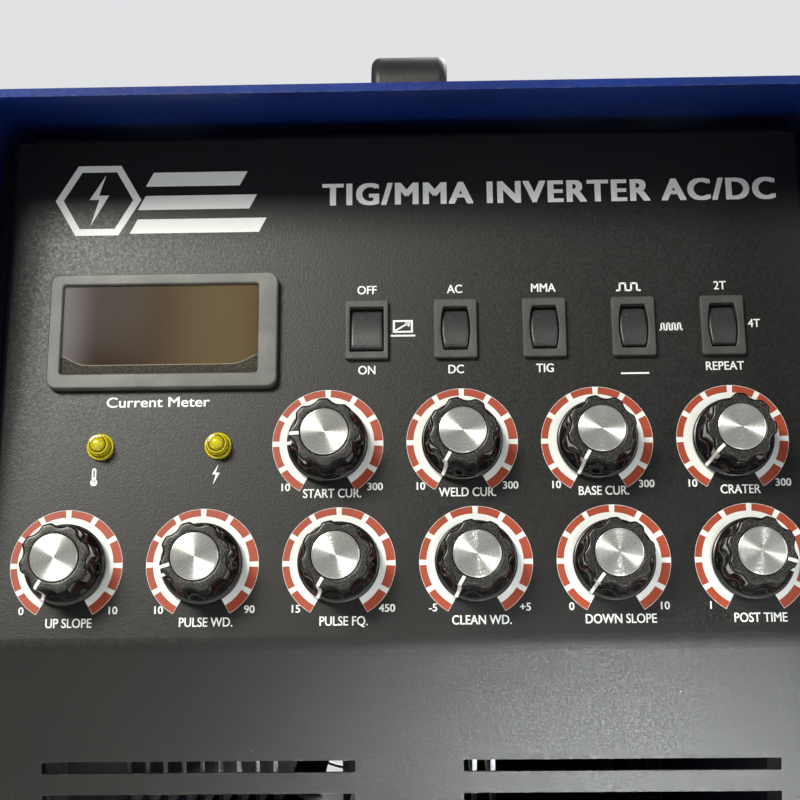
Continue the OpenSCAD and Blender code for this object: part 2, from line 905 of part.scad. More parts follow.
// Stud with a free end for a ring terminal; inside its nuts the thread is drawn at its core
module earth_stud() {
    r = earth_d / 2;
    core_r = r * 0.82;
    washer_t = 1.6;
    nut_top = 8;
    color([0.8, 0.62, 0.25]) rear_at(breaker_x, earth_z) {
        rod(r, nut_top + run, 20);
        rod(core_r, -12, nut_top + run + EPS);
        nut(13, core_r, -8, -sheet);
        difference() {
            rod(8, 0, washer_t);
            rod(r + run, -1, 3);
        }
        nut(13, core_r, washer_t, nut_top);
    }
}

// ---- Inside ----

module heat_sinks() {
    base = 10;
    drop = 70;
    width = 66;
    fins = 9;
    fin_t = 2;
    step = (width - fin_t) / (fins - 1);
    color([0.75, 0.76, 0.78]) for (x = [-126, -32])
        along_y(-120, 190) {
            translate([x, shelf_z - base]) square([width, base]);
            for (i = [0 : fins - 1])
                translate([x + i * step, shelf_z - drop]) square([fin_t, drop - base + EPS]);
        }
}

module main_transformer() {
    low = tray_z;
    color([0.35, 0.2, 0.1]) {
        difference() {
            block([-125, 20, low + 12], [-35, 60, low + 92]);
            for (x = [-111, -67]) block([x, 10, low + 26], [x + 18, 70, low + 78]);
        }
        difference() {
            block([-110, 3, low + 27], [-50, 77, low + 77]);
            block([-93, 2, low + 26], [-67, 78, low + 78]);
            block([-94, 19.9, low + 20], [-66, 60.1, low + 85]);
        }
        block([-130, 24, low], [-30, 56, low + 12]);
    }
}

module output_choke() {
    color([0.5, 0.26, 0.1]) translate([62, 40, tray_z]) {
        translate([0, 0, 4]) rotate_extrude() translate([20, 0]) {
            translate([4, 0]) square([18, 40]);
            translate([0, 4]) square([26, 32]);
            for (x = [4, 22], z = [4, 36]) translate([x, z]) circle(4);
        }
        rod(30, 0, 4 + EPS);
    }
}

module inverter_board() {
    thick = 1.6;
    up = shelf_z + tray_t + 8;
    color([0.05, 0.3, 0.12]) {
        block([-115, -150, up], [115, 150, up + thick]);
        for (x = [-108, 0, 108], y = [-142, 142])
            translate([x, y, 0]) rod(4, shelf_z + tray_t, up + EPS);
        block([-100, -130, up + thick - EPS], [-50, -85, up + 36]);
        block([-30, -130, up + thick - EPS], [20, -95, up + 28]);
        block([45, 70, up + thick - EPS], [100, 130, up + 40]);
    }
}

module capacitors() {
    up = shelf_z + tray_t + 9.6;
    color([0.15, 0.17, 0.25]) for (x = [-80, -38], y = [0, 42, 84])
        translate([x, y, up]) cylinder(r = 17.5, h = 50);
}

// ---- The model ----

wrap_cover();
base_tray();
front_panel();
connector_plate();
rear_panel();
board_shelf();
carry_handle();
rubber_feet();
case_screws();
for (k = KNOBS) knob(k);
for (k = KNOBS) cap(k);
for (s = SWITCHES) rocker(s);
potentiometers();
control_board();
switch_housings();
meter_bezel();
meter_window();
meter_display();
indicator_lamps();
socket_housings();
socket_inserts();
gas_outlet();
control_sockets();
fan_frame();
fan_rotor();
fan_guard();
breaker_body();
breaker_lever();
cable_gland();
gas_inlet();
gas_valve();
gas_hose();
earth_stud();
heat_sinks();
main_transformer();
output_choke();
inverter_board();
capacitors();
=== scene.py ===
"""TIG welding machine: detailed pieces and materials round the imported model.

Lengths are in mm until a mesh is made.
"""

import json
from math import asin, cos, degrees, exp, log1p, pi, radians, sin, sqrt, tan, tau

import bmesh
import bpy
from mathutils import Euler, Matrix, Vector
from mathutils.geometry import tessellate_polygon


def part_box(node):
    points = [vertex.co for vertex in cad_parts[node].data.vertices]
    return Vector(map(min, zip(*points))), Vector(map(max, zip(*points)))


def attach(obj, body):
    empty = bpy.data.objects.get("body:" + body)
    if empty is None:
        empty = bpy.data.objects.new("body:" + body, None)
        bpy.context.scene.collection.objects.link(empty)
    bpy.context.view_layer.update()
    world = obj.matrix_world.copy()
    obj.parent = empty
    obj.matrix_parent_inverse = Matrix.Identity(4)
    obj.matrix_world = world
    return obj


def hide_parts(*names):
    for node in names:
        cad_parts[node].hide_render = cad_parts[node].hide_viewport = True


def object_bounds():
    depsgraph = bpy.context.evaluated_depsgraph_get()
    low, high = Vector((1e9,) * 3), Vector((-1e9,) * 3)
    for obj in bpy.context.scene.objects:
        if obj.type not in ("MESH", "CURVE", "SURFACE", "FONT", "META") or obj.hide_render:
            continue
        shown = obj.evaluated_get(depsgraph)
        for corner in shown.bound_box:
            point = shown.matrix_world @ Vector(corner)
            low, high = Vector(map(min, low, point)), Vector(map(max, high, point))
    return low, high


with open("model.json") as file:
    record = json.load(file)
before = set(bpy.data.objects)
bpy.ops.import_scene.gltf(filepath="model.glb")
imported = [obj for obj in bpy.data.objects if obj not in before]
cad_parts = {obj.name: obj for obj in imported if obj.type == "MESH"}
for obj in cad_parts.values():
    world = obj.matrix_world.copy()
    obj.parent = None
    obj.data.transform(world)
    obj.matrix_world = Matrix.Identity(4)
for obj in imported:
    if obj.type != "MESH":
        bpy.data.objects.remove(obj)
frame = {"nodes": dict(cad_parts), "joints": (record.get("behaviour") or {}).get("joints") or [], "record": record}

CAD_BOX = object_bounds()
MM = 0.001
JOINTS = {j["name"]: j for j in frame["joints"]}

# ---- Frames of the faces: x across, y up the face, z out of it ----

KNOBS = [
    "start_current", "weld_current", "base_current", "crater_current",
    "up_slope", "pulse_width", "pulse_frequency", "clean_width", "down_slope", "post_flow",
]
LOWER_ROW = KNOBS[4:]
SWITCHES = ["remote", "ac_dc", "mma_tig", "pulse", "trigger_mode"]


def basis(across, up, out, origin):
    """World matrix of a frame from its axes, in metres."""
    m = Matrix((across, up, out)).transposed().to_4x4()
    m.translation = origin
    return m


def joint_at(name):
    return Vector(JOINTS[name]["pos_m"])


FACE_OUT = -Vector(JOINTS["up_slope_turn"]["axis"])
ACROSS = Vector((1, 0, 0))
PANEL = basis(
    ACROSS, FACE_OUT.cross(ACROSS), FACE_OUT,
    sum((joint_at(k + "_turn") for k in LOWER_ROW), Vector()) / len(LOWER_ROW),
)
FRONT_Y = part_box("front_panel")[0].y
REAR_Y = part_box("rear_panel")[1].y
FRONT = basis(ACROSS, Vector((0, 0, 1)), Vector((0, -1, 0)), Vector((0, FRONT_Y, 0)))
REAR = basis(-ACROSS, Vector((0, 0, 1)), Vector((0, 1, 0)), Vector((0, REAR_Y, 0)))


def at(x, y, z=0):
    return Matrix.Translation(Vector((x, y, z)) * MM)


def turned(degrees, axis="Z"):
    return Matrix.Rotation(radians(degrees), 4, axis)


def in_frame(face, point):
    """A world point in metres, given in a face's frame in mm."""
    return (face.inverted() @ Vector(point)) / MM


def put(name, data, place):
    """New object in the scene, at a world matrix in metres."""
    made = bpy.data.objects.new(name, data)
    made.matrix_world = place
    bpy.context.scene.collection.objects.link(made)
    return made


# ---- Camera, first: it looks at the control face as the photograph does ----

LENS, SENSOR = 69.1, 36
CAMERA_AT = (10.3, -80.4, 513.7)
CAMERA_TURN = (14.93, 1.48, -0.34)

camera = put("camera", bpy.data.cameras.new("camera"),
             PANEL @ at(*CAMERA_AT) @ Euler([radians(a) for a in CAMERA_TURN]).to_matrix().to_4x4())
camera.data.lens = LENS
camera.data.sensor_width = SENSOR
camera.data.clip_start = 0.01
bpy.context.scene.camera = camera


# ---- Materials ----

def linear(r, g, b):
    """Linear colour from sRGB 0..255."""
    def one(c):
        c /= 255
        return c / 12.92 if c <= 0.04045 else ((c + 0.055) / 1.055) ** 2.4
    return (one(r), one(g), one(b), 1)


class Shader:
    """One procedural material, built node by node round a Principled shader."""

    def __init__(self, name):
        self.material = bpy.data.materials.new(name)
        self.material.use_nodes = True
        self.tree = self.material.node_tree
        self.surface = self.tree.nodes["Principled BSDF"]
        coords = self.node("ShaderNodeTexCoord")
        self.where = coords.outputs["Object"]
        self.normal = coords.outputs["Normal"]

    def node(self, kind, inputs=None, **settings):
        made = self.tree.nodes.new(kind)
        for key, value in settings.items():
            setattr(made, key, value)
        for key, value in (inputs or {}).items():
            self.feed(made.inputs[key], value)
        return made

    def feed(self, socket, value):
        if isinstance(value, bpy.types.NodeSocket):
            self.tree.links.new(value, socket)
        else:
            socket.default_value = value

    def math(self, operation, *values):
        return self.node("ShaderNodeMath", dict(enumerate(values)), operation=operation).outputs[0]

    def times(self, a, b):
        return self.math("MULTIPLY", a, b)

    def noise(self, size, detail, roughness=0.5):
        """Noise whose features are about size mm."""
        inputs = {"Vector": self.where, "Scale": 1 / (size * MM), "Detail": detail, "Roughness": roughness}
        return self.node("ShaderNodeTexNoise", inputs).outputs["Fac"]

    def step(self, value, low, high, start=0, end=1):
        """value from low..high mapped smoothly to start..end, and held outside."""
        inputs = {"Value": value, "From Min": low, "From Max": high, "To Min": start, "To Max": end}
        return self.node("ShaderNodeMapRange", inputs, interpolation_type="SMOOTHSTEP").outputs[0]

    def specks(self, spacing, radius, share):
        """Mask of small round specks: spacing and radius in mm, share of cells that have one."""
        inputs = {"Vector": self.where, "Scale": 1 / (spacing * MM)}
        cells = self.node("ShaderNodeTexVoronoi", inputs)
        size = radius / spacing
        near = self.step(cells.outputs["Distance"], size * 0.6, size, 1, 0)
        parts = self.node("ShaderNodeSeparateColor", {"Color": cells.outputs["Color"]})
        chosen = self.math("LESS_THAN", parts.outputs[0], share)
        return self.times(near, chosen)

    def mix(self, factor, a, b):
        made = self.node("ShaderNodeMix", data_type="RGBA")
        self.feed(made.inputs[0], factor)
        self.feed(made.inputs[6], a)
        self.feed(made.inputs[7], b)
        return made.outputs[2]

    def bump(self, height, depth):
        """Normal for a height of 0..1 that stands depth mm high."""
        return self.node("ShaderNodeBump", {"Height": height, "Distance": depth * MM}).outputs[0]

    def worn_edges(self, radius):
        """Mask of the sharp outer edges, radius mm wide."""
        soft = self.node("ShaderNodeBevel", {"Radius": radius * MM}, samples=4).outputs[0]
        flat = self.node("ShaderNodeNewGeometry").outputs["Normal"]
        dot = self.node("ShaderNodeVectorMath", {0: soft, 1: flat}, operation="DOT_PRODUCT")
        return self.step(dot.outputs["Value"], 0.985, 0.9)

    def axis(self, name, vector=None):
        return self.node("ShaderNodeSeparateXYZ", {0: vector or self.where}).outputs[name]

    def radius(self):
        """Distance from the object's own Z axis, in metres."""
        x, y = self.axis("X"), self.axis("Y")
        square = self.math("ADD", self.times(x, x), self.times(y, y))
        return self.math("SQRT", square)

    def done(self, **inputs):
        for key, value in inputs.items():
            self.feed(self.surface.inputs[key.replace("_", " ")], value)
        return self.material


def powder_coat(name, colour, haze, roughness):
    """Baked powder coat: orange peel, specks of dust, and a little wear on its edges."""
    s = Shader(name)
    base = s.mix(s.step(s.noise(45, 3, 0.6), 0.35, 0.7), colour, haze)
    base = s.mix(s.times(s.worn_edges(0.5), s.step(s.noise(3, 4), 0.5, 0.62)), base,
                 linear(92, 92, 90))
    dust = s.math("MAXIMUM", s.specks(9, 0.25, 0.45), s.specks(3.6, 0.11, 0.35))
    base = s.mix(s.times(dust, 0.5), base, linear(150, 148, 138))
    fine, coarse = s.noise(0.3, 2, 0.6), s.noise(0.75, 2, 0.55)
    height = s.math("ADD", s.times(fine, 0.3), coarse)
    rough = s.step(s.noise(1.1, 3, 0.6), 0.3, 0.7, roughness - 0.06, roughness + 0.06)
    return s.done(Base_Color=base, Roughness=rough, Normal=s.bump(height, 0.05), IOR=1.5)


def moulded(name, colour, roughness, grain=0.3, depth=0.03, dust=0.35, coat=0.0):
    """Moulded plastic with a spark-eroded grain, slight mottling and dust."""
    s = Shader(name)
    light = tuple(min(1, c * 1.5 + 0.004) for c in colour[:3]) + (1,)
    base = s.mix(s.step(s.noise(12, 3, 0.6), 0.35, 0.7), colour, light)
    base = s.mix(s.times(s.step(s.noise(grain, 2), 0.6, 0.72), dust), base,
                 linear(165, 160, 150))
    base = s.mix(s.times(s.worn_edges(0.25), dust), base, linear(150, 148, 142))
    rough = s.step(s.noise(grain, 2), 0.3, 0.7, roughness - 0.05, roughness + 0.08)
    return s.done(Base_Color=base, Roughness=rough, Normal=s.bump(s.noise(grain, 2, 0.6), depth),
                  Coat_Weight=coat, Coat_Roughness=0.12)


def bare_metal(name, colour, tarnish, roughness):
    """Metal with a fine surface grain, tarnish in patches and brighter worn edges."""
    s = Shader(name)
    base = s.mix(s.step(s.noise(7, 4, 0.65), 0.42, 0.68), colour, tarnish)
    bright = tuple(min(1, c * 1.15 + 0.05) for c in colour[:3]) + (1,)
    base = s.mix(s.worn_edges(0.3), base, bright)
    rough = s.step(s.noise(1.6, 4, 0.7), 0.3, 0.7, roughness - 0.08, roughness + 0.12)
    return s.done(Base_Color=base, Metallic=1.0, Roughness=rough,
                  Normal=s.bump(s.noise(0.4, 3, 0.6), 0.01))


def galvanised(name):
    """Hot-dipped sheet: flakes of spangle, each with its own shade."""
    s = Shader(name)
    flakes = s.node("ShaderNodeTexVoronoi", {"Vector": s.where, "Scale": 1 / (7 * MM)})
    shade = s.node("ShaderNodeSeparateColor", {"Color": flakes.outputs["Color"]}).outputs[0]
    base = s.mix(shade, linear(168, 172, 175), linear(205, 208, 210))
    return s.done(Base_Color=base, Metallic=1.0, Roughness=s.step(shade, 0, 1, 0.32, 0.5),
                  Normal=s.bump(s.noise(0.8, 3), 0.01))


def knob_moulding(name):
    """Glossy black moulding, with a dusty, scratched top rim."""
    s = Shader(name)
    up = s.step(s.axis("Z", s.normal), 0.8, 0.97)
    specks = s.times(up, s.step(s.noise(0.34, 3, 0.7), 0.52, 0.7))
    film = s.times(up, s.step(s.noise(5, 3, 0.6), 0.3, 0.75, 0.1, 0.5))
    base = s.mix(film, linear(10, 10, 11), linear(42, 41, 38))
    base = s.mix(s.times(specks, 0.55), base, linear(160, 155, 142))
    smear = s.step(s.noise(3, 4, 0.7), 0.35, 0.7, 0.08, 0.16)
    rough = s.math("ADD", smear, s.times(up, 0.2))
    ripple = s.math("ADD", s.times(s.noise(4, 1), 0.2), s.times(s.noise(0.3, 2), up))
    return s.done(Base_Color=base, Roughness=rough, Normal=s.bump(ripple, 0.03), IOR=1.5)


def spun_aluminium(name):
    """Disc turned on a lathe: circular grooves that pull every highlight into a fan."""
    s = Shader(name)
    r = s.radius()
    grooves = s.node("ShaderNodeTexNoise", {"W": s.times(r, 9000.0), "Scale": 1.0, "Detail": 3.0},
                     noise_dimensions="1D").outputs["Fac"]
    base = s.mix(s.step(grooves, 0.3, 0.7), linear(186, 186, 180), linear(236, 236, 232))
    tangent = s.node("ShaderNodeTangent", direction_type="RADIAL", axis="Z").outputs[0]
    return s.done(Base_Color=base, Metallic=0.82, Roughness=s.step(grooves, 0.3, 0.7, 0.22, 0.34),
                  Anisotropic=0.95, Anisotropic_Rotation=0.25, Tangent=tangent,
                  Normal=s.bump(grooves, 0.003))


def tinted_window(name, reach, edge):
    """Smoked window: a warm film with a painted reflection, grey at its left end and browner to the right, and
    dust that lies along the bottom.
    """
    s = Shader(name)
    x = s.math("DIVIDE", s.axis("X"), reach * MM)
    y = s.axis("Y")
    # Painted reflection: the film's tint runs from a grey left end through dark brown to olive brown across the
    # window.
    tint_and_reflection = s.mix(s.step(x, -1.05, -0.6), linear(101, 97, 99), linear(46, 35, 27))
    tint_and_reflection = s.mix(s.step(x, -0.5, 0.6), tint_and_reflection, linear(89, 77, 58))
    tint_and_reflection = s.mix(s.step(x, 0.7, 1.0), tint_and_reflection, linear(86, 71, 52))
    bend = s.step(s.math("ABSOLUTE", x), 0.64, 1.0)
    lift = s.times(s.times(bend, bend), 3.6 * MM)
    line = s.math("SUBTRACT", y, s.math("ADD", edge * MM, lift))
    below = s.step(line, 0.12 * MM, -0.12 * MM)
    grit = s.step(s.noise(0.3, 3, 0.7), 0.42, 0.68)
    dust = s.mix(grit, linear(42, 40, 36), linear(98, 95, 87))
    base = s.mix(below, tint_and_reflection, dust)
    rim = s.step(s.math("ABSOLUTE", line), 0.22 * MM, 0.05 * MM)
    base = s.mix(s.times(rim, 0.5), base, linear(180, 168, 144))
    rough = s.math("ADD", s.times(below, 0.5), 0.1)
    return s.done(Base_Color=base, Roughness=rough, Specular_IOR_Level=0.035,
                  Normal=s.bump(s.times(grit, below), 0.05))


def lamp_lens(name):
    """Clear yellow lens with painted shade: darker rings where its steps are, and a brown line of painted shade
    round the inner dome.
    """
    s = Shader(name)
    r = s.radius()

    def circle(middle, half):
        return s.step(s.math("ABSOLUTE", s.math("SUBTRACT", r, middle * MM)), half * MM, half * 0.4 * MM)

    base = s.mix(s.step(s.noise(1.5, 3), 0.35, 0.7), linear(244, 228, 22), linear(226, 208, 16))
    # Painted shade: a darker ring at the outer step, and a brown one where the barrel meets the dome.
    base = s.mix(circle(3.85, 0.3), base, linear(168, 150, 10))
    base = s.mix(circle(2.75, 0.32), base, linear(112, 82, 14))
    base = s.mix(circle(1.5, 0.4), base, linear(206, 188, 16))
    return s.done(Base_Color=base, Roughness=s.step(s.noise(2, 3), 0.3, 0.7, 0.08, 0.18),
                  Transmission_Weight=0.3, Subsurface_Weight=0.3, Subsurface_Scale=0.003,
                  Subsurface_Radius=(1.0, 0.9, 0.2), Coat_Weight=0.6, Coat_Roughness=0.06,
                  Normal=s.bump(s.noise(1.2, 2), 0.02))


def silk_print(name, colour, worn):
    """Screen-printed ink: slight grain and thin spots."""
    s = Shader(name)
    base = s.mix(s.step(s.noise(0.5, 3, 0.6), 0.5, 0.75), colour, worn)
    return s.done(Base_Color=base, Roughness=s.step(s.noise(0.6, 2), 0.3, 0.7, 0.38, 0.52),
                  Normal=s.bump(s.noise(0.5, 2), 0.01))


def rubber(name):
    s = Shader(name)
    base = s.mix(s.step(s.noise(6, 4, 0.65), 0.4, 0.7), linear(30, 30, 31), linear(62, 60, 57))
    return s.done(Base_Color=base, Roughness=s.step(s.noise(2, 3), 0.3, 0.7, 0.72, 0.9),
                  Normal=s.bump(s.noise(0.6, 3, 0.6), 0.05), Sheen_Weight=0.1)


def circuit_board(name):
    """Solder mask with copper tracks under it and a few pads."""
    s = Shader(name)
    bricks = s.node("ShaderNodeTexBrick", {"Vector": s.where, "Scale": 1 / (14 * MM), "Mortar Size": 0.06,
                                           "Color1": (0, 0, 0, 1), "Color2": (0, 0, 0, 1),
                                           "Mortar": (1, 1, 1, 1)}).outputs[0]
    base = s.mix(bricks, linear(14, 70, 36), linear(30, 104, 52))
    base = s.mix(s.specks(6, 0.9, 0.5), base, linear(190, 188, 180))
    return s.done(Base_Color=base, Roughness=0.3, Coat_Weight=0.3, Normal=s.bump(bricks, 0.04))


def wound(name, colour, dark, pitch):
    """Enamelled wire laid turn by turn under varnish."""
    s = Shader(name)
    wave = s.node("ShaderNodeTexWave", {"Vector": s.where, "Scale": 1 / (pitch * MM * tau),
                                        "Distortion": 0.6, "Detail": 1.0}).outputs["Fac"]
    base = s.mix(wave, dark, colour)
    return s.done(Base_Color=base, Roughness=0.32, Coat_Weight=0.5, Normal=s.bump(wave, 0.3))


INK_WHITE = silk_print("ink_white", linear(233, 236, 233), linear(215, 218, 215))
INK_RED = silk_print("ink_red", linear(163, 65, 35), linear(146, 56, 31))
MATERIALS = {name: make(name, *looks) for name, make, *looks in (
    ("blue_paint", powder_coat, linear(10, 36, 104), linear(14, 44, 120), 0.36),
    ("black_paint", powder_coat, linear(12, 12, 11), linear(17, 16, 14), 0.42),
    ("black_plastic", moulded, linear(24, 24, 24), 0.42),
    ("switch_plastic", moulded, linear(52, 54, 51), 0.46, 0.28, 0.05, 0.3),
    ("rocker_plastic", moulded, linear(40, 43, 43), 0.34, 0.28, 0.04, 0.25),
    ("knob_moulding", knob_moulding),
    ("spun_aluminium", spun_aluminium),
    ("rubber", rubber),
    ("zinc_screw", bare_metal, linear(186, 188, 190), linear(150, 150, 146), 0.28),
    ("zinc_sheet", galvanised),
    ("nickel", bare_metal, linear(200, 196, 188), linear(160, 156, 148), 0.24),
    ("brass", bare_metal, linear(204, 164, 92), linear(150, 112, 58), 0.28),
    ("tinted_window", tinted_window, 35.5, -12.9),
    ("bezel_plastic", moulded, linear(80, 82, 80), 0.44, 0.26, 0.03, 0.3),
    ("lamp_lens", lamp_lens),
    ("circuit_board", circuit_board),
    ("display_block", moulded, linear(44, 40, 36), 0.3, 0.6, 0.01, 0.1, 0.3),
    ("breaker_plastic", moulded, linear(196, 196, 188), 0.45, 0.4, 0.02, 0.1),
    ("lever_plastic", moulded, linear(28, 28, 30), 0.3, 0.4, 0.01, 0.2, 0.3),
    ("fan_plastic", moulded, linear(32, 32, 32), 0.5, 0.5, 0.04),
    ("extruded_aluminium", bare_metal, linear(196, 198, 200), linear(172, 173, 174), 0.36),
    ("winding_varnish", wound, linear(122, 74, 40), linear(70, 38, 22), 1.4),
    ("copper_winding", wound, linear(178, 104, 58), linear(96, 48, 26), 2.0),
    ("capacitor_sleeve", moulded, linear(40, 50, 76), 0.3, 2, 0.02, 0.1, 0.4),
)}
SLOT_OF = {part["node"]: part["material_slot"] for part in frame["record"]["subparts"]}


# ---- Mesh code ----

def polar(r, angle, centre=(0, 0)):
    return (centre[0] + r * cos(angle), centre[1] + r * sin(angle))


def walls(first, rows, n):
    """Quads between rows + 1 closed loops of n vertices each, from vertex first on."""
    return [[a + k, a + (k + 1) % n, a + n + (k + 1) % n, a + n + k]
            for a in range(first, first + rows * n, n) for k in range(n)]


class Solid:
    """Vertices in mm and faces, gathered from closed shapes, that become one mesh."""

    def __init__(self):
        self.verts, self.faces = [], []

    def add(self, verts, faces, place=None):
        start = len(self.verts)
        verts = [Vector(v) * MM for v in verts]
        self.verts += [place @ v for v in verts] if place else verts
        self.faces += [[start + i for i in f] for f in faces]
        return self

    def lathe(self, profile, n, radius=None, place=None, closed=False):
        """Revolves (r, z) points about Z in n steps. radius(i, angle, r) may change ring i."""
        angles = [tau * k / n for k in range(n)]
        verts, rings = [], []
        for i, (r, z) in enumerate(profile):
            if r == 0:
                rings.append([len(verts)])
                verts.append((0, 0, z))
                continue
            rings.append(list(range(len(verts), len(verts) + n)))
            verts += [(*polar(radius(i, a, r) if radius else r, a), z) for a in angles]
        pairs = list(zip(rings, rings[1:])) + ([(rings[-1], rings[0])] if closed else [])
        faces = []
        for a, b in pairs:
            for k in range(n):
                j = (k + 1) % n
                if len(a) == 1:
                    faces.append([a[0], b[k], b[j]])
                elif len(b) == 1:
                    faces.append([a[k], b[0], a[j]])
                else:
                    faces.append([a[k], b[k], b[j], a[j]])
        return self.add(verts, faces, place)

    def tube(self, profile, n, place):
        """Lathe of a closed profile that stays off the axis."""
        return self.lathe(profile, n, None, place, True)

    def loft(self, loops, place=None):
        """Joins loops of equally many (x, y, z) points, and closes the two ends."""
        n, last = len(loops[0]), len(loops) - 1
        verts = [p for loop in loops for p in loop]
        faces = walls(0, last, n)
        for base, flip in ((0, True), (last * n, False)):
            flat = [Vector(p) for p in verts[base:base + n]]
            for t in tessellate_polygon([flat]):
                faces.append([base + i for i in (reversed(t) if flip else t)])
        return self.add(verts, faces, place)

    def slab(self, outer, holes, low, high, soft, steps, both=False, place=None):
        """Plate of any outline with holes, its upper edges rounded by soft mm, and its lower ones if both."""
        outlines = [counter_clockwise(outer)] + [counter_clockwise(h)[::-1] for h in holes]
        levels = []
        if both:
            for k in range(steps):
                a = pi / 2 * k / steps
                levels.append((soft * (1 - sin(a)), low + soft * (1 - cos(a))))
        levels.append((0, low + (soft if both else 0)))
        for k in range(steps + 1 if soft else 1):
            a = pi / 2 * k / max(1, steps)
            levels.append((soft * (1 - cos(a)), high - soft * (1 - sin(a))))
        verts, faces, ends = [], [], []
        for outline in outlines:
            n, first = len(outline), len(verts)
            for inset, z in levels:
                verts += [(x, y, z) for x, y in inset_outline(outline, inset)]
            faces += walls(first, len(levels) - 1, n)
            ends.append((first, first + (len(levels) - 1) * n, n))
        for which, flip in ((0, True), (1, False)):
            index = [i for e in ends for i in range(e[which], e[which] + e[2])]
            loops = [[Vector(verts[i]) for i in range(e[which], e[which] + e[2])] for e in ends]
            for t in tessellate_polygon(loops):
                p = [Vector(verts[index[i]]) for i in t]
                down = (p[1] - p[0]).cross(p[2] - p[0]).z < 0
                faces.append([index[i] for i in (reversed(t) if down != flip else t)])
        return self.add(verts, faces, place)

    def rod(self, r, low, high, soft, place, n=32):
        """Cylinder with softened ends."""
        profile = [(0, low), (r - soft, low), (r, low + soft), (r, high - soft), (r - soft, high), (0, high)]
        return self.lathe(profile, n, place=place)

    def mesh(self, name, sharp=40):
        """The solid as one smooth-shaded mesh, with edges over sharp degrees kept sharp."""
        mesh = bpy.data.meshes.new(name)
        mesh.from_pydata(self.verts, [], self.faces)
        b = bmesh.new()
        b.from_mesh(mesh)
        bmesh.ops.recalc_face_normals(b, faces=b.faces)
        b.to_mesh(mesh)
        b.free()
        mesh.shade_smooth()
        mesh.set_sharp_from_angle(angle=radians(sharp))
        return mesh

    def piece(self, name, body, slot, *nodes, place=Matrix(), material=None, sharp=40):
        show(name, self.mesh(name, sharp), body, slot, nodes, place, material)

    def stand_in(self, node, slot, body="root", place=Matrix()):
        """Becomes the piece that replaces the CAD node of the same name."""
        self.piece(node, body, slot, node, place=place)


def show(name, mesh, body, slot, nodes, place, material=None):
    """Puts a mesh in the scene as a piece that rides on a body, in place of the nodes given."""
    obj = put(name, mesh, place)
    if not mesh.materials:
        mesh.materials.append(material or MATERIALS[slot])
    obj.modifiers.new("normals", "WEIGHTED_NORMAL").keep_sharp = True
    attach(obj, body)
    if nodes:
        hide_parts(*nodes)


def counter_clockwise(points):
    """The outline, turned round if it runs the other way."""
    area = sum(a[0] * b[1] - b[0] * a[1] for a, b in zip(points, points[1:] + points[:1]))
    return list(points) if area > 0 else list(points)[::-1]


def inset_outline(points, d):
    """Closed outline moved to its left by d, along the mitred corners."""
    if d == 0:
        return points
    moved = []
    for before, here, after in zip(points[-1:] + points[:-1], points, points[1:] + points[:1]):
        a = (Vector(here) - Vector(before)).normalized()
        b = (Vector(after) - Vector(here)).normalized()
        na, nb = Vector((-a.y, a.x)), Vector((-b.y, b.x))
        along = na + nb
        along = along / max(0.2, along.dot(na))
        moved.append((here[0] + along.x * d, here[1] + along.y * d))
    return moved


def rounded(points, r, n):
    """Outline with its corners rounded; r is one radius or one for each corner."""
    out = []
    count = len(points)
    for i, p in enumerate(points):
        radius = r[i] if isinstance(r, (list, tuple)) else r
        here = Vector(p)
        a = (Vector(points[i - 1]) - here).normalized()
        b = (Vector(points[(i + 1) % count]) - here).normalized()
        half = a.angle(b) / 2
        if radius == 0:
            out.append(tuple(here))
            continue
        cut = radius / tan(half)
        start, end = here + a * cut, here + b * cut
        centre = here + (a + b).normalized() * (radius / sin(half))
        u, w = start - centre, end - centre
        sweep = u.angle(w)
        for k in range(n + 1):
            t = k / n
            out.append(tuple(centre + (u * sin((1 - t) * sweep) + w * sin(t * sweep))
                             / sin(sweep)))
    return out


def rect(w, h, r=0, n=6, centre=(0, 0)):
    """Rectangle with corners of radius r, each in n steps."""
    x, y = centre
    corners = [(x - w / 2, y - h / 2), (x + w / 2, y - h / 2), (x + w / 2, y + h / 2), (x - w / 2, y + h / 2)]
    return rounded(corners, r, n) if r else corners


def ring(r, n, centre=(0, 0)):
    return [polar(r, tau * k / n, centre) for k in range(n)]


def smooth(x, low, high):
    """0 up to low, 1 from high, and an even curve between them."""
    t = min(1, max(0, (x - low) / (high - low)))
    return t * t * (3 - 2 * t)


def arc(x, y, rx, ry, n):
    """Quarter ellipse round (x, y), from its top to its right end."""
    return [(x + rx * sin(pi / 2 * k / n), y + ry * cos(pi / 2 * k / n)) for k in range(n + 1)]


def fillet(r0, z0, r1, z1, n):
    """Quarter round from (r0, z0), leaving along z, to (r1, z1), arriving along r."""
    return [(r0 + (r1 - r0) * (1 - cos(pi / 2 * k / n)),
             z0 + (z1 - z0) * sin(pi / 2 * k / n)) for k in range(n + 1)]


def hexed(solid, flats, low, high, hole, place):
    """Hexagon nut with a hole and rounded edges, by its size over the flats."""
    solid.slab(rounded(ring(flats / sqrt(3), 6), 0.6, 3), [ring(hole, 32)], low, high, 0.5, 2, True, place)


def thread(low, high, pitch, depth):
    """Profile and radius function of a screw thread between two heights."""
    count = max(8, int((high - low) / pitch * 6))
    heights = [low + (high - low) * k / count for k in range(count + 1)]

    def radius(z, angle, plain):
        turn = (z / pitch - angle / tau) % 1
        fade = smooth(z, low, low + pitch * 0.6) * smooth(-z, -high, -high + pitch * 0.6)
        return plain - depth * abs(2 * turn - 1) * fade

    return heights, radius


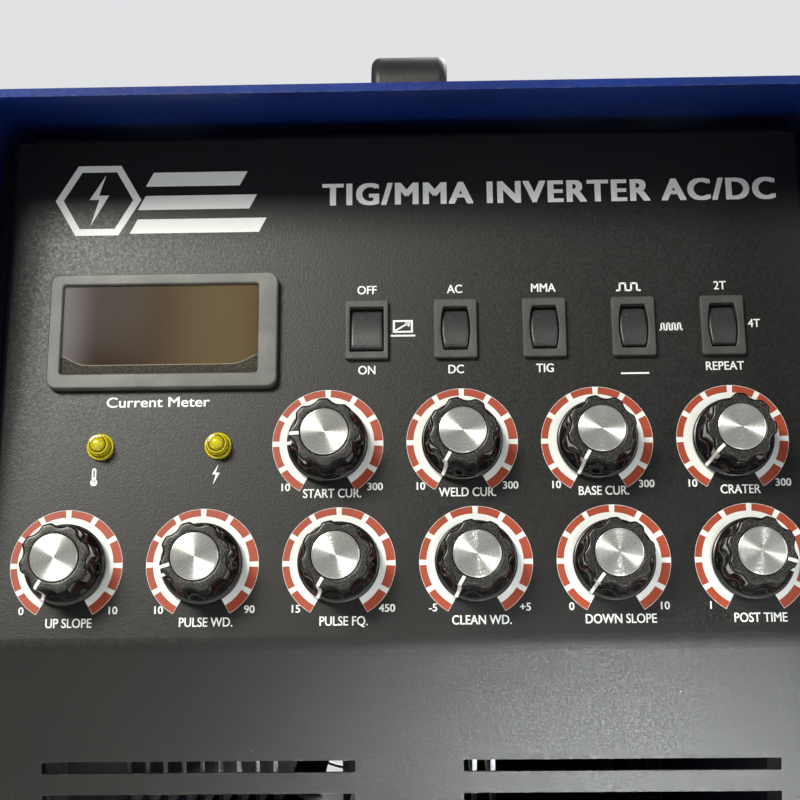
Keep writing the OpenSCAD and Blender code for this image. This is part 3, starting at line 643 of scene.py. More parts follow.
def threaded_rod(solid, r, low, high, pitch, depth, place, bore=0, mouth=0.5):
    """Rod or tube with an outer screw thread and chamfered end."""
    heights, shape = thread(low, high, pitch, depth)
    profile = [(r, z) for z in heights]
    tip = [(r - depth, high + 0.01)]
    if bore:
        profile = [(bore, low)] + profile + tip + [(bore + mouth, high + 0.01), (bore, high - mouth)]
    else:
        profile = [(0, low)] + profile + tip + [(0, high + 0.01)]

    def radius(i, angle, plain):
        return shape(heights[i - 1], angle, plain) if 1 <= i <= len(heights) else plain

    return solid.lathe(profile, 48, radius, place, closed=bool(bore))


# ---- Printed graphics: thin ink on the control face ----

class Ink:
    """Flat patches of ink that become one thin closed layer on the control face."""

    def __init__(self, low, high):
        self.low, self.high = low, high
        self.solid = Solid()

    def patch(self, outline, holes=()):
        self.solid.slab(outline, holes, self.low, self.high, 0, 1)

    def bar(self, a, b, width):
        """Straight stroke between two points."""
        a, b = Vector(a), Vector(b)
        along = (b - a).normalized() * (width / 2)
        side = Vector((-along.y, along.x))
        rim = (a - along - side, b + along - side, b + along + side, a - along + side)
        self.patch([tuple(p) for p in rim])

    def stroke(self, points, width):
        for a, b in zip(points, points[1:]):
            self.bar(a, b, width)

    def sector(self, centre, inner, outer, start, end, steps):
        """Part of a ring between two angles, clockwise from straight up. inner(angle) is its inner radius."""
        angles = [radians(start + (end - start) * k / steps) for k in range(steps + 1)]
        rim = [(outer, a) for a in angles] + [(inner(a), a) for a in reversed(angles)]
        self.patch([(centre[0] + r * sin(a), centre[1] + r * cos(a)) for r, a in rim])

    def text(self, words, x, y, cap, bold, wide=1.0, width=None, spacing=1.0):
        """Words centred on x, y. Shifted copies, each a little higher, make the strokes bold mm heavier."""
        curve = bpy.data.curves.new("words", "FONT")
        curve.body = words
        curve.size = 1
        curve.align_x = "CENTER"
        curve.resolution_u = 4
        curve.space_character = spacing
        holder = put("words", curve, Matrix())
        flat = bpy.data.meshes.new_from_object(holder.evaluated_get(bpy.context.evaluated_depsgraph_get()))
        scale = cap / CAP_HEIGHT
        if width:
            across = [v.co.x for v in flat.vertices]
            wide = (width - 2 * bold) / (max(across) - min(across)) / scale
        for k, (dx, dy) in enumerate(((-1, -0.4), (1, 0.4), (-1, 0.4), (1, -0.4), (0, 0))):
            b = bmesh.new()
            b.from_mesh(flat)
            bmesh.ops.remove_doubles(b, verts=b.verts, dist=1e-5)
            top = self.high - 0.003 * k
            for v in b.verts:
                v.co = Vector((x + v.co.x * scale * wide + dx * bold,
                               y + v.co.y * scale - cap / 2 + dy * bold, top))
            made = bmesh.ops.extrude_face_region(b, geom=list(b.faces))
            for v in made["geom"]:
                if isinstance(v, bmesh.types.BMVert):
                    v.co.z = self.low
            bmesh.ops.recalc_face_normals(b, faces=b.faces)
            b.verts.index_update()
            self.solid.add([v.co for v in b.verts], [[v.index for v in f.verts] for f in b.faces])
            b.free()
        bpy.data.objects.remove(holder)
        bpy.data.meshes.remove(flat)
        bpy.data.curves.remove(curve)

    def piece(self, name, material, slot="black_paint", place=PANEL):
        return self.solid.piece(name, "root", slot, place=place, material=material)


# Height of a capital in Blender's own font at size 1
CAP_HEIGHT = 0.682


# ---- Knobs ----

SKIRT_R = 13.9
LOBE_R = 11.85
LOBES = 8
RIM_W = 17.6
DISC_R = 8
SCOOP_R = 4.6
SCOOP_DEEP = 1.25
SCOOP_AT = LOBE_R + SCOOP_R - SCOOP_DEEP
TRAVEL_LOW = -150


def scoop(angle):
    """How far a scoop cuts into the knob's side at an angle, softened at its edges."""
    pitch = tau / LOBES
    off = (angle - pi / 2 + pitch) % pitch - pitch / 2
    inside = SCOOP_R ** 2 - (SCOOP_AT * sin(off)) ** 2
    cut = LOBE_R - (SCOOP_AT * cos(off) - sqrt(inside)) if inside > 0 else -SCOOP_DEEP
    soft = 0.32
    return soft * log1p(exp(cut / soft)) if cut < 20 * soft else cut


KNOB_SIDE = (
    [(DISC_R + 0.1, 16.8)] + fillet(DISC_R + 0.1, 17.3, DISC_R + 0.5, RIM_W, 3)
    + [(9.2, RIM_W + 0.02), (10.1, RIM_W)]
    + arc(10.75, 16.5, 1.1, 1.1, 6)
    + [(LOBE_R, 14), (LOBE_R, 11), (LOBE_R, 8), (LOBE_R + 0.02, 6.6), (LOBE_R + 0.1, 5.6),
       (LOBE_R + 0.3, 4.7), (LOBE_R + 0.75, 3.9), (12.9, 3.35), (13.3, 3.1)]
    + arc(13.3, 2.5, 0.6, 0.6, 4)[1:]
    + [(SKIRT_R, 1.3), (SKIRT_R - 0.3, 1)]
)
KNOB_PROFILE = (
    [(0, 16.7), (DISC_R + 0.1, 16.7)] + KNOB_SIDE
    + [(9, 1), (9, 4.9), (3.1, 4.9), (3.1, 15), (0, 15)]
)


def knob_radius(i, angle, r):
    """Radius of the knob's profile with its scoops cut."""
    z = KNOB_PROFILE[i][1]
    if i < 2 or r < DISC_R + 0.4 or z <= 4.2:
        return r
    return r - scoop(angle) * smooth(r, DISC_R + 0.3, 10.6) * smooth(z, 4.3, 7.2)


def pointer_solid():
    """White line from the disc over the rim and down the side, let into the knob's surface."""
    half = 0.55
    path = [(r, z) for r, z in KNOB_SIDE if r >= DISC_R + 0.5 and z > 2.4]
    loops = []
    for k, (r, z) in enumerate(path):
        before, after = path[max(0, k - 1)], path[min(len(path) - 1, k + 1)]
        along = Vector((after[0] - before[0], after[1] - before[1])).normalized()
        out = Vector((-along.y, along.x))
        if out.x + out.y < 0:
            out = -out
        cut = scoop(pi / 2) * smooth(r, DISC_R + 0.3, 10.6) * smooth(z, 4.3, 7.2)
        top = Vector((r - cut, z)) + out * 0.07
        low = Vector((r - cut, z)) - out * 0.25
        loops.append([(-half, top.x, top.y), (half, top.x, top.y), (half, low.x, low.y),
                      (-half, low.x, low.y)])
    return Solid().loft(loops)


def cap_solid():
    """Turned disc, slightly dished, and the spindle behind it."""
    disc = [(0, 18.02), (3, 18.04), (6.2, 18.12), (7.3, 18.2), (7.6, 18.2), (7.85, 18.08), (7.95, 17.85),
            (7.95, 16.82), (0, 16.82)]
    spindle = [(0, -9), (2.6, -9), (3, -8.6), (3, 14.2), (2.6, 14.6), (0, 14.6)]
    return Solid().lathe(disc, 96).lathe(spindle, 32)


# All ten share three meshes
knob_mesh = Solid().lathe(KNOB_PROFILE, 192, knob_radius).mesh("knob_" + KNOBS[0])
pointer_mesh = pointer_solid().mesh("pointer_" + KNOBS[0])
cap_mesh = cap_solid().mesh("cap_" + KNOBS[0])

for name in KNOBS:
    joint = JOINTS[name + "_turn"]
    body = name + "_knob"
    rest = TRAVEL_LOW - joint["range_deg"][0]
    place = basis(*(PANEL.col[i].to_3d() for i in range(3)), joint_at(name + "_turn")) @ turned(-rest)
    show("knob_" + name, knob_mesh, body, "knob_moulding", ["knob_" + name], place)
    show("pointer_" + name, pointer_mesh, body, "knob_moulding", [], place, INK_WHITE)
    show("cap_" + name, cap_mesh, body, "spun_aluminium", ["cap_" + name], place)


# ---- Printed graphics ----

KNOB_AT = {k: in_frame(PANEL, joint_at(k + "_turn")) for k in KNOBS}
RING_R, RING_IN, WHITE_IN = 19, 16.35, 13.3
SKEW, SKEW_ANGLE = 0.4, radians(118)

white = Ink(0.0, 0.03)
red = Ink(0.03, 0.05)
letters = Ink(0.0, 0.04)


def band_inner(angle):
    """Inner edge of the red band: its print sits a little off centre."""
    return RING_IN - SKEW * cos(angle - SKEW_ANGLE)


SCALE_END = 150
MARKS = 10
# Half the white gap at a MARK, and the white edge at the ends of the scale, in degrees
GAP_HALF, EDGE = degrees(0.9 / 17.7), 0.35
# Each knob's name, and the numbers at the ends of its scale
LABELS = {
    "start_current": ("START CUR.", "10", "300"), "weld_current": ("WELD CUR.", "10", "300"),
    "base_current": ("BASE CUR.", "10", "300"), "crater_current": ("CRATER", "10", "300"),
    "up_slope": ("UP SLOPE", "0", "10"), "pulse_width": ("PULSE WD.", "10", "90"),
    "pulse_frequency": ("PULSE FQ.", "15", "450"), "clean_width": ("CLEAN WD.", "-5", "+5"),
    "down_slope": ("DOWN SLOPE", "0", "10"), "post_flow": ("POST TIME", "1", "10"),
}
for k in KNOBS:
    spot = x, y = KNOB_AT[k].xy
    white.sector(spot, lambda a: WHITE_IN, RING_R + 0.12, -SCALE_END, SCALE_END, 100)
    for i in range(MARKS):
        start = -SCALE_END + 30 * i + (GAP_HALF if i else EDGE)
        end = -SCALE_END + 30 * (i + 1) - (GAP_HALF if i < MARKS - 1 else EDGE)
        red.sector(spot, band_inner, RING_R, start, end, 10)
    words, low, high = LABELS[k]
    letters.text(words, x + 1.6, y - (19.4 if k in LOWER_ROW else 17.4), 3, 0.06, 0.84)
    letters.text(low, x - 14.6, y - 15.2, 2.5, 0.08)
    letters.text(high, x + 16.2, y - 15.2, 2.5, 0.08)

SWITCH_AT = {s: in_frame(PANEL, joint_at(s + "_tip")) for s in SWITCHES}
# The words above and below a switch
POSITIONS = {"remote": ("OFF", "ON"), "ac_dc": ("AC", "DC"), "mma_tig": ("MMA", "TIG"),
             "trigger_mode": ("2T", "REPEAT")}
for s, (above, below) in POSITIONS.items():
    x, y = SWITCH_AT[s].xy
    letters.text(above, x, y + 15, 3, 0.06, 0.9)
    letters.text(below, x, y - 14.4, 3, 0.06, 0.9)


def moved(points, to, scale=1):
    """Points round the origin, scaled and then moved to a place."""
    return [(to[0] + scale * x, to[1] + scale * y) for x, y in points]


def square_wave(left, low, step, height, count, width):
    """Line of count pulses, each step wide and step apart."""
    points = [(left, low)]
    for i in range(count):
        x = left + step * (0.5 + 2 * i)
        points += [(x, low), (x, low + height), (x + step, low + height), (x + step, low)]
    points.append((points[-1][0] + step / 2, low))
    letters.stroke(points, width)


# The symbols beside the switches: pulses, steady current, remote control
pulse = SWITCH_AT["pulse"].xy
square_wave(pulse.x - 5, pulse.y + 13.6, 2, 2.6, 2, 0.62)
square_wave(pulse.x + 9.4, pulse.y - 1.1, 0.95, 2.3, 4, 0.5)
letters.stroke(moved([(-4.6, -16.7), (4.6, -16.7)], pulse), 0.6)
trigger = SWITCH_AT["trigger_mode"].xy
letters.text("4T", trigger.x + 11.1, trigger.y + 0.9, 2.9, 0.06, 0.9)
box = moved([(12.6, 1.4)], SWITCH_AT["remote"].xy)[0]
letters.patch(rect(7, 4.6, centre=box), [rect(5.6, 3.3, centre=box)])
letters.stroke(moved([(-2.6, -1.5), (2, 1.2)], box), 0.55)
letters.patch(moved([(2.7, 1.6), (0.7, 1.35), (2.1, -0.3)], box))
letters.stroke(moved([(-4, -3.4), (4, -3.4)], box), 0.62)

METER = (-85, 82.3)
WINDOW = (-86.1, 82.9)
letters.text("Current Meter", METER[0] - 1.4, 57, 3.5, 0.08, width=36)

LAMPS = [(-105.6, 41), (-64.9, 41)]
# The symbols under the lamps: thermometer, bolt
bulb = (LAMPS[0][0] - 1.9, 30.6 - 1.9)
stem = [(-0.75, 0.3), (0.75, 0.3), (0.75, 5), (-0.75, 5)]
letters.patch(ring(1.25, 20, bulb))
letters.patch(rounded(moved(stem, bulb), [0, 0, 0.74, 0.74], 5),
              [rect(0.5, 2.6, centre=(bulb[0], bulb[1] + 3.1))])
BOLT = [(0.9, 3.6), (-1.2, 0.1), (0.1, 0.1), (-0.9, -3.6), (1.4, 0.7), (0.05, 0.7)]
letters.patch(moved(BOLT, (LAMPS[1][0] - 0.7, 31)))

letters.text("TIG/MMA INVERTER AC/DC", 51.5, 133.4, 7.9, 0.5, width=162, spacing=1.14)


def sloped_bar(left, right, low, high):
    lean = (high - low) / 2
    letters.patch([(left, low), (right, low), (right + lean, high), (left + lean, high)])


# A plain mark of this script's own: a hexagonal nut with a spark bolt, and three speed bars
MARK = (-110.5, 132.5)
letters.patch(ring(15.5, 6, MARK), [ring(12.6, 6, MARK)])
letters.patch(moved(BOLT, MARK, 2.7))
for i, length in enumerate((34, 42, 50)):
    sloped_bar(-93.5 - i * 2.6, -93.5 + length - 4.4 * i, 137.6 - 9 * i, 143 - 9 * i)

white.piece("scale_rings_white", INK_WHITE)
red.piece("scale_rings_red", INK_RED)
letters.piece("panel_lettering", INK_WHITE)


# ---- Meter ----

PROUD = 3.5
FRAME_STEPS = [
    (WINDOW, 71, 34.6, 1, -22), (WINDOW, 71, 34.6, 1, 2), (WINDOW, 69, 32.6, 1, 2),
    (WINDOW, 69, 32.6, 1, 3.0), (WINDOW, 69.5, 33.1, 1.2, PROUD - 0.15), (WINDOW, 70, 33.6, 1.5, PROUD),
    (METER, 79.2, 40.6, 3, PROUD), (METER, 79.8, 41.2, 3.3, PROUD - 0.08),
    (METER, 80.2, 41.6, 3.5, PROUD - 0.3), (METER, 80.4, 41.8, 3.6, PROUD - 0.7), (METER, 80.4, 41.8, 3.6, 0),
    (METER, 76, 38, 1, 0), (METER, 76, 38, 1, -24),
]


def frame_loop(centre, w, h, r, z):
    """Rounded rectangle at height z."""
    return [(x, y, z) for x, y in rect(w, h, r, 8, centre)]


Solid().loft([frame_loop(*step) for step in FRAME_STEPS]).stand_in(
    "meter_bezel", "bezel_plastic", place=PANEL)
Solid().slab(rect(71, 34.6, 0.5, 2), [], 0.6, 2, 0.15, 2).stand_in(
    "meter_window", "tinted_window", place=PANEL @ at(*WINDOW))


# ---- Indicator lamps ----

LAMP = ([(0, -10), (3.9, -10), (3.9, 0), (4.65, 0), (4.65, 1.0)] + fillet(4.65, 1.0, 4.3, 1.35, 3)
        + [(4.0, 1.4), (3.85, 1.2), (3.75, 1.3), (3.6, 3.2), (3.45, 4.9)]
        + [(3.45 - 0.35 * (1 - cos(a)), 4.9 + 0.35 * sin(a)) for a in (0.5, 1.0, 1.57)]
        + [(2.75, 5.2), (2.6, 5.25)]
        + [(2.55 * cos(a), 5.35 + 1.9 * sin(a)) for a in [pi / 2 * k / 7 for k in range(7)]] + [(0, 7.25)])
for i, (x, y) in enumerate(LAMPS):
    Solid().lathe(LAMP, 64).piece(f"indicator_lamp_{i + 1}", "root", "lamp_lens",
                                  *(["indicator_lamps"] if i == 0 else []), place=PANEL @ at(x, y))


# ---- Rocker switches ----

SIDE_R = 33
TIP = 11
PIVOT = -1
WIDE, SLIM = (5.6, 7.6), (4.8, 7.4)
GAP = (0.3, 0.5)
CROWN, CROWN_R = 1.5, 34
END_ROUND, END_DROP = 1.3, 0.5
BEZEL_SIZE = (15, 21.5)


def side_bulge(y):
    """How much narrower a slim rocker is at height y than at its middle."""
    return SIDE_R - sqrt(SIDE_R ** 2 - y * y)


def barrel(hx, hy):
    """Outline with straight ends and sides that bulge a little."""
    n = 14
    side = [(hx - side_bulge(y), y) for y in (-hy + 2 * hy * k / n for k in range(n + 1))]
    out = side + [(-x, -y) for x, y in side]
    return rounded(out, [0.5 if k in (0, n, n + 1, 2 * n + 1) else 0 for k in range(len(out))], 3)


def rocker_height(y, hy):
    """Crowned top of a rocker at mid travel, rounded off at its ends."""
    end = max(0, abs(y) - (hy - END_ROUND)) / END_ROUND
    return CROWN - y * y / (2 * CROWN_R) - END_DROP * (1 - sqrt(max(0, 1 - end * end)))


def spaced(half, n):
    """n + 1 places from -half to half, a little closer together at the ends."""
    return [half * (0.35 * sin(pi / 2 * s) + 0.65 * s) for s in (2 * k / n - 1 for k in range(n + 1))]


def rocker_solid(half, square):
    """Rocker as a grid over its crowned top, and walls down from the grid's rim."""
    hx, hy = half
    n, m = 18, 34
    soft = 0.45
    verts = []
    for y in spaced(hy, m):
        wide = hx if square else hx - side_bulge(y)
        for x in spaced(wide, n):
            edge = min(wide - abs(x), hy - abs(y))
            round_off = soft * (1 - sqrt(max(0, 1 - (1 - min(edge, soft) / soft) ** 2)))
            verts.append((x, y, rocker_height(y, hy) - round_off))
    w = n + 1
    faces = [[a, a + 1, a + w + 1, a + w] for j in range(m) for a in range(j * w, j * w + n)]
    rim = (list(range(w)) + [j * w + n for j in range(1, m + 1)]
           + [m * w + i for i in range(n - 1, -1, -1)] + [j * w for j in range(m - 1, 0, -1)])
    base = len(verts)
    verts += [(verts[i][0], verts[i][1], -1) for i in rim]
    for k in range(len(rim)):
        j = (k + 1) % len(rim)
        faces.append([rim[k], base + k, base + j, rim[j]])
    faces.append([base + k for k in range(len(rim))])
    return Solid().add(verts, faces)


for s in SWITCHES:
    wide = s == "remote"
    half = WIDE if wide else SLIM
    x, y = SWITCH_AT[s].xy
    opening = (half[0] + GAP[0], half[1] + GAP[1])
    hole = rect(2 * opening[0], 2 * opening[1], 0.3, 2) if wide else barrel(*opening)
    housing = Solid().slab(rect(*BEZEL_SIZE, 0.8, 5), [hole], 0, 2, 0.35, 3)
    housing.slab(rect(13, 19.2, 0.4, 2), [hole], -8, 0.01, 0, 1)
    housing.slab(rect(13, 19.2, 0.4, 2), [], -14, -8, 0, 1)
    for v in (-6, 0, 6):
        housing.slab(rect(6, 0.8, centre=(0, v)), [], -21, -14, 0.15, 1)
    housing.piece("switch_housing_" + s, "root", "switch_plastic",
                  *(["switch_housings"] if s == SWITCHES[0] else []), place=PANEL @ at(x, y))
    pivot = PANEL @ at(x, y, PIVOT) @ turned(-TIP, "X") @ at(0, 0, -PIVOT)
    rocker_solid(half, wide).piece("rocker_" + s, s + "_rocker", "switch_plastic", "rocker_" + s,
                                   place=pivot, sharp=50, material=MATERIALS["rocker_plastic"])


# ---- Carrying handle and feet ----

TOP_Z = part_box("carry_handle")[0].z
HANDLE_WIDE = 34
HANDLE_SIDE = basis(Vector((0, 1, 0)), Vector((0, 0, 1)), ACROSS, Vector((0, 0, TOP_Z)))
HANDLE_EDGE = [
    (-108, 0), (-95.6, 51.2), (95.6, 51.2), (108, 0), (78, 0), (69.9, 34), (-69.9, 34), (-78, 0),
]
HANDLE_ROUND = [0.6, 15, 15, 0.6, 0.6, 6, 6, 0.6]

handle = Solid().slab(rounded(HANDLE_EDGE, HANDLE_ROUND, 10), [], -HANDLE_WIDE / 2, HANDLE_WIDE / 2,
                      4, 5, True, HANDLE_SIDE)
for i in range(21):
    rib = at(0, 5.6 * (i - 10)) @ Matrix.Translation((0, 0, TOP_Z))
    handle.slab(rect(25, 2.6, 1.25, 5), [], 50.9, 52, 0.6, 3, place=rib)
handle.stand_in("carry_handle", "black_plastic")

FOOT_AT = [(x, y) for x in (-115, 115) for y in (-220, 220)]
SOLE = [(6, 6), (6, 0.6), (6.5, 0), (8, 0), (8.3, 0.7), (9, 0.7), (9.3, 0), (10.7, 0), (11, 0.7), (11.7, 0.7),
        (12, 0), (13.2, 0), (13.85, 0.25), (14.1, 0.9), (14.3, 2.2), (15.7, 12.4), (15.85, 13.6), (15.5, 14),
        (2.55, 14), (2.55, 6)]
feet = Solid()
for x, y in FOOT_AT:
    feet.tube(SOLE, 64, at(x, y))
feet.stand_in("rubber_feet", "rubber")


# ---- Screws: pan heads with a cross recess ----

def cross(reach, half):
    """Outline of a cross recess."""
    corner = [(reach, -half), (reach, half), (half, half)]
    return [(x * c - y * s, x * s + y * c) for c, s in ring(1, 4) for x, y in corner]


def pan_screw(solid, place, r, length, head_r=4, head_h=2.2):
    """Screw whose head stands on z = 0 and whose shank runs to -length."""
    floor = head_h * 0.4
    solid.slab(ring(head_r, 40), [], 0, floor + 0.05, 0.15, 2, place=place)
    recess = cross(head_r * 0.52, head_r * 0.12)
    solid.slab(ring(head_r, 40), [recess], floor, head_h, head_h * 0.42, 5, place=place)
    solid.rod(r, -length, 0.05, 0.3, place, 20)


def flat_frame(out, up, x, y, z):
    """Frame at a world point in mm, from the way it faces and its up."""
    out, up = Vector(out), Vector(up)
    return basis(up.cross(out), up, out, Vector((x, y, z)) * MM)


COVER_HALF = 150
ROOF_TOP = TOP_Z / MM
SHEET = 1.5
REAR_SCREW_Y = REAR_Y / MM - 8
SIDE_SCREWS = [(y, 26) for y in (-200, 0, 200)] + [(REAR_SCREW_Y, z) for z in (150, 350)]
PLATE_SCREWS = [(x, z) for x in (-118, 118) for z in (68, 132)]
PLATE_T = 4
FAN = (45, 145)
SCREW_RING = 81
FAN_SCREWS = [polar(SCREW_RING, radians(a), FAN) for a in (68, 112, 248, 292)]
GUARD_W = 5
WIRE_R = 1.1
UP, DOWN, BACK = (0, 0, 1), (0, 0, -1), (0, 1, 0)

# Where each screw sits, with its radius and length, and its head's radius and height
spots = (
    [(flat_frame((side, 0, 0), UP, side * COVER_HALF, y, z), 2, 6)
     for side in (-1, 1) for y, z in SIDE_SCREWS]
    + [(flat_frame(UP, BACK, x, REAR_SCREW_Y, ROOF_TOP), 2, 6) for x in (-100, 100)]
    + [(FRONT @ at(x, z, PLATE_T), 1.75, 9, 3.2, 2) for x, z in PLATE_SCREWS]
    + [(REAR @ at(x, z, GUARD_W + WIRE_R), 2, 56, 3.8, 2.2) for x, z in FAN_SCREWS]
    + [(flat_frame(DOWN, BACK, 0, y, ROOF_TOP - SHEET), 3, 16, 5.5, 4) for y in (-92, 92)]
    + [(flat_frame(DOWN, BACK, x, y, 6), 2.5, 14, 4.5, 3) for x, y in FOOT_AT]
)
screws = Solid()
for i, (place, *size) in enumerate(spots):
    pan_screw(screws, place @ turned(31 * i), *size)
screws.stand_in("case_screws", "zinc_screw")


# ---- Front connections ----

SOCKETS = [(-95, 100), (95, 100)]
CONTROLS = [(-40, 100), (0, 100)]
GAS_OUT = (40, 100)


def keyed(r, half, reach, sides, n=28):
    """Circle with a notch, half wide each way and out to reach, at each of the angles in degrees."""
    spread = degrees(asin(half / r))
    out = []
    for i, turn in enumerate(sides):
        c, s = cos(radians(turn)), sin(radians(turn))
        out += [(reach * c + half * s, reach * s - half * c), (reach * c - half * s, reach * s + half * c)]
        stop = sides[(i + 1) % len(sides)] + (360 if i + 1 == len(sides) else 0) - spread
        for k in range(n + 1):
            out.append(polar(r, radians(turn + spread + (stop - turn - spread) * k / n)))
    return out


holes = [ring(18.2, 64, c) for c in SOCKETS] + [ring(8.2, 40, c) for c in CONTROLS + [GAS_OUT]]
holes += [ring(1.8, 20, c) for c in PLATE_SCREWS]
Solid().slab(rect(250, 80, 6, 8, (0, 100)), holes, 0, PLATE_T, 0.8, 4, place=FRONT).stand_in(
    "connector_plate", "black_plastic")

HOUSING = [
    (13.05, -9), (17.6, -9), (18, -8.6), (18, 4.02), (24.5, 4.02), (25, 4.5), (25, 6.9), (24.7, 7.6), (24, 8),
    (21.9, 8), (21.3, 8.3), (21, 9), (21, 14.02), (16.5, 14.02), (16.5, 10.4), (16.1, 10), (13.05, 10),
]
housings, inserts = Solid(), Solid()
for x, z in SOCKETS:
    spot = FRONT @ at(x, z)
    housings.tube(HOUSING, 96, spot)
    housings.slab(ring(21, 96), [keyed(16.5, 3, 18.5, (0, 180))], 14, 22, 0.9, 4, place=spot)
    for k in range(24):
        grip = spot @ turned(360 / 24 * k + 7.5) @ at(22.9, 0)
        housings.slab(rect(2.2, 1.5, 0.6, 3), [], 7.6, 8.6, 0.3, 2, place=grip)
    housings.slab(ring(24, 48), [ring(18.05, 48)], -7.5, -1.5, 0.5, 2, True, spot)
    inserts.lathe([(0, -12), (12.6, -12), (13, -11.6), (13, -7.98), (0, -7.98)], 64, place=spot)
    inserts.tube([(6.5, -8), (13, -8), (13, 8.02), (6.5, 8.02)], 64, spot)
    inserts.slab(ring(13, 72), [keyed(6.5, 2.2, 9.5, (90,), 40)], 8, 17, 0.7, 4, place=spot)
    inserts.tube([(12.9, 10), (15.2, 10), (15.5, 10.3), (15.5, 12.1), (15.1, 12.5), (12.9, 12.5)], 72, spot)
    threaded_rod(inserts, 6, -38, -11.9, 1.75, 0.7, spot)
    hexed(inserts, 19, -24, -14, 6.05, spot)
housings.stand_in("socket_housings", "black_plastic")
inserts.stand_in("socket_inserts", "brass")

spot = FRONT @ at(*GAS_OUT)
outlet = Solid().tube([(1.6, -10), (7.5, -10), (8, -9.5), (8, 5), (1.6, 5)], 48, spot)
hexed(outlet, 24, 4, 9, 1.6, spot)
threaded_rod(outlet, 8, 8.9, 19.98, 1.5, 0.75, spot, 1.6, 2.6)
outlet.tube([(1.6, -34), (2.3, -34), (2.95, -32), (2.6, -31.8), (2.95, -29.5), (2.6, -29.3), (2.95, -27),
             (2.6, -26.8), (2.6, -9.9), (1.6, -9.9)], 32, spot)
hexed(outlet, 24, -6.5, -1.5, 8.05, spot)
outlet.stand_in("gas_outlet", "brass")

shells, inner, pins = Solid(), Solid(), Solid()
for x, z in CONTROLS:
    spot = FRONT @ at(x, z)
    shells.lathe([(0, -14), (7.5, -14), (8, -13.5), (8, 6.5), (6.7, 6.5), (6.7, 2.9), (0, 2.9)], 48,
                 place=spot)
    heights, shape = thread(6.3, 14.5, 1, 0.45)
    profile = [(8, h) for h in heights] + [(7.5, 15), (6.95, 15), (6.7, 14.7), (6.7, 6.3)]
    shells.lathe(profile, 48, lambda i, a, r: shape(heights[i], a, r) if i < len(heights) else r, spot, True)
    shells.slab(ring(10.5, 64), [ring(7.9, 48)], 4, 6.2, 0.5, 3, place=spot)
    hexed(shells, 19, -4.5, -1.5, 8.05, spot)
    inner.slab(keyed(6.62, 0.9, 5.6, (90,), 40), [], 2.95, 5.2, 0.3, 2, place=spot)
    for k in range(5):
        foot = spot @ at(*polar(3.8, tau * k / 5 + pi / 2 + tau / 10))
        inner.lathe([(0, 5.1), (1.35, 5.1), (1.35, 5.7), (1.15, 5.9), (0, 5.9)], 20, place=foot)
        pins.lathe([(0, 2.96), (0.8, 2.96), (0.8, 10.3), (0.55, 10.85), (0, 11)], 16, place=foot)
shells.stand_in("control_sockets", "nickel")
inner.piece("control_socket_insulators", "root", "black_plastic")
pins.piece("control_socket_pins", "root", "brass")

polarity = Ink(PLATE_T, PLATE_T + 0.04)
for x, _ in SOCKETS:
    polarity.bar((x - 2, 132.5), (x + 2, 132.5), 1)
polarity.bar((SOCKETS[1][0], 130), (SOCKETS[1][0], 135), 1)
polarity.piece("polarity_marks", INK_WHITE, "black_plastic", FRONT)


# ---- Fan: curved blades behind a guard of round wires ----

FAN_PLACE = REAR @ at(*FAN)
BLADES = 7
ROTOR_LOW, ROTOR_HIGH = -31.5, -9.5
HUB_R, BLADE_R = 27, 72


def blade_section(t, turn):
    """Closed aerofoil at share t of the blade's length, wrapped round the fan's axis."""
    r = HUB_R - 0.8 + (BLADE_R - HUB_R + 0.8) * t
    pitch = radians(44 - 14 * t)
    chord, camber, thick = 26 + 7 * t, 2.8, 2.4 - 1.0 * t
    upper = [-0.5 + k / 9 for k in range(10)]
    points = []
    for u, side in [(u, 1) for u in upper] + [(u, -1) for u in upper[-2:0:-1]]:
        body = thick * sqrt(max(0, 0.26 - u * u)) * (1.1 - 0.6 * u)
        off = camber * (1 - 4 * u * u) + side * body
        along = chord * u
        around = along * cos(pitch) - off * sin(pitch)
        a = turn - radians(9) * t * t + around / r
        z = (ROTOR_LOW + ROTOR_HIGH) / 2 + 1 + along * sin(pitch) + off * cos(pitch)
        points.append((*polar(r, a), z))
    return points


rotor = Solid().lathe(
    [(0, ROTOR_LOW), (HUB_R - 0.6, ROTOR_LOW), (HUB_R, ROTOR_LOW + 0.6), (HUB_R, ROTOR_HIGH - 2.6)]
    + fillet(HUB_R, ROTOR_HIGH - 2.6, HUB_R - 2.6, ROTOR_HIGH, 6)
    + [(21.6, ROTOR_HIGH), (21.2, ROTOR_HIGH - 0.4), (20.4, ROTOR_HIGH - 0.4), (20, ROTOR_HIGH),
       (0, ROTOR_HIGH)],
    96, place=FAN_PLACE)
rotor.rod(3, ROTOR_LOW - 14, ROTOR_LOW + 0.05, 0.4, FAN_PLACE)
for k in range(BLADES):
    rotor.loft([blade_section(j / 10, tau * k / BLADES) for j in range(11)], FAN_PLACE)
rotor.stand_in("fan_rotor", "fan_plastic", "fan")

guard = Solid()
for k in range(7):
    guard.tube(ring(WIRE_R, 12, (18 + 10.4 * k, GUARD_W)), 96, FAN_PLACE)
for k in range(4):
    brace = FAN_PLACE @ turned(45 * k) @ at(0, 0, GUARD_W - 2 * WIRE_R) @ turned(90, "Y")
    guard.rod(WIRE_R, -SCREW_RING, SCREW_RING, 0.5, brace, 16)
EYE = [(2.2, 0.3), (2.5, 0), (4.3, 0), (4.6, 0.3), (4.6, 5.6), (4.1, 6.1), (2.7, 6.1), (2.2, 5.6)]
for x, z in FAN_SCREWS:
    guard.tube(EYE, 32, REAR @ at(x, z))
guard.stand_in("fan_guard", "zinc_screw")


# ---- Mains breaker ----

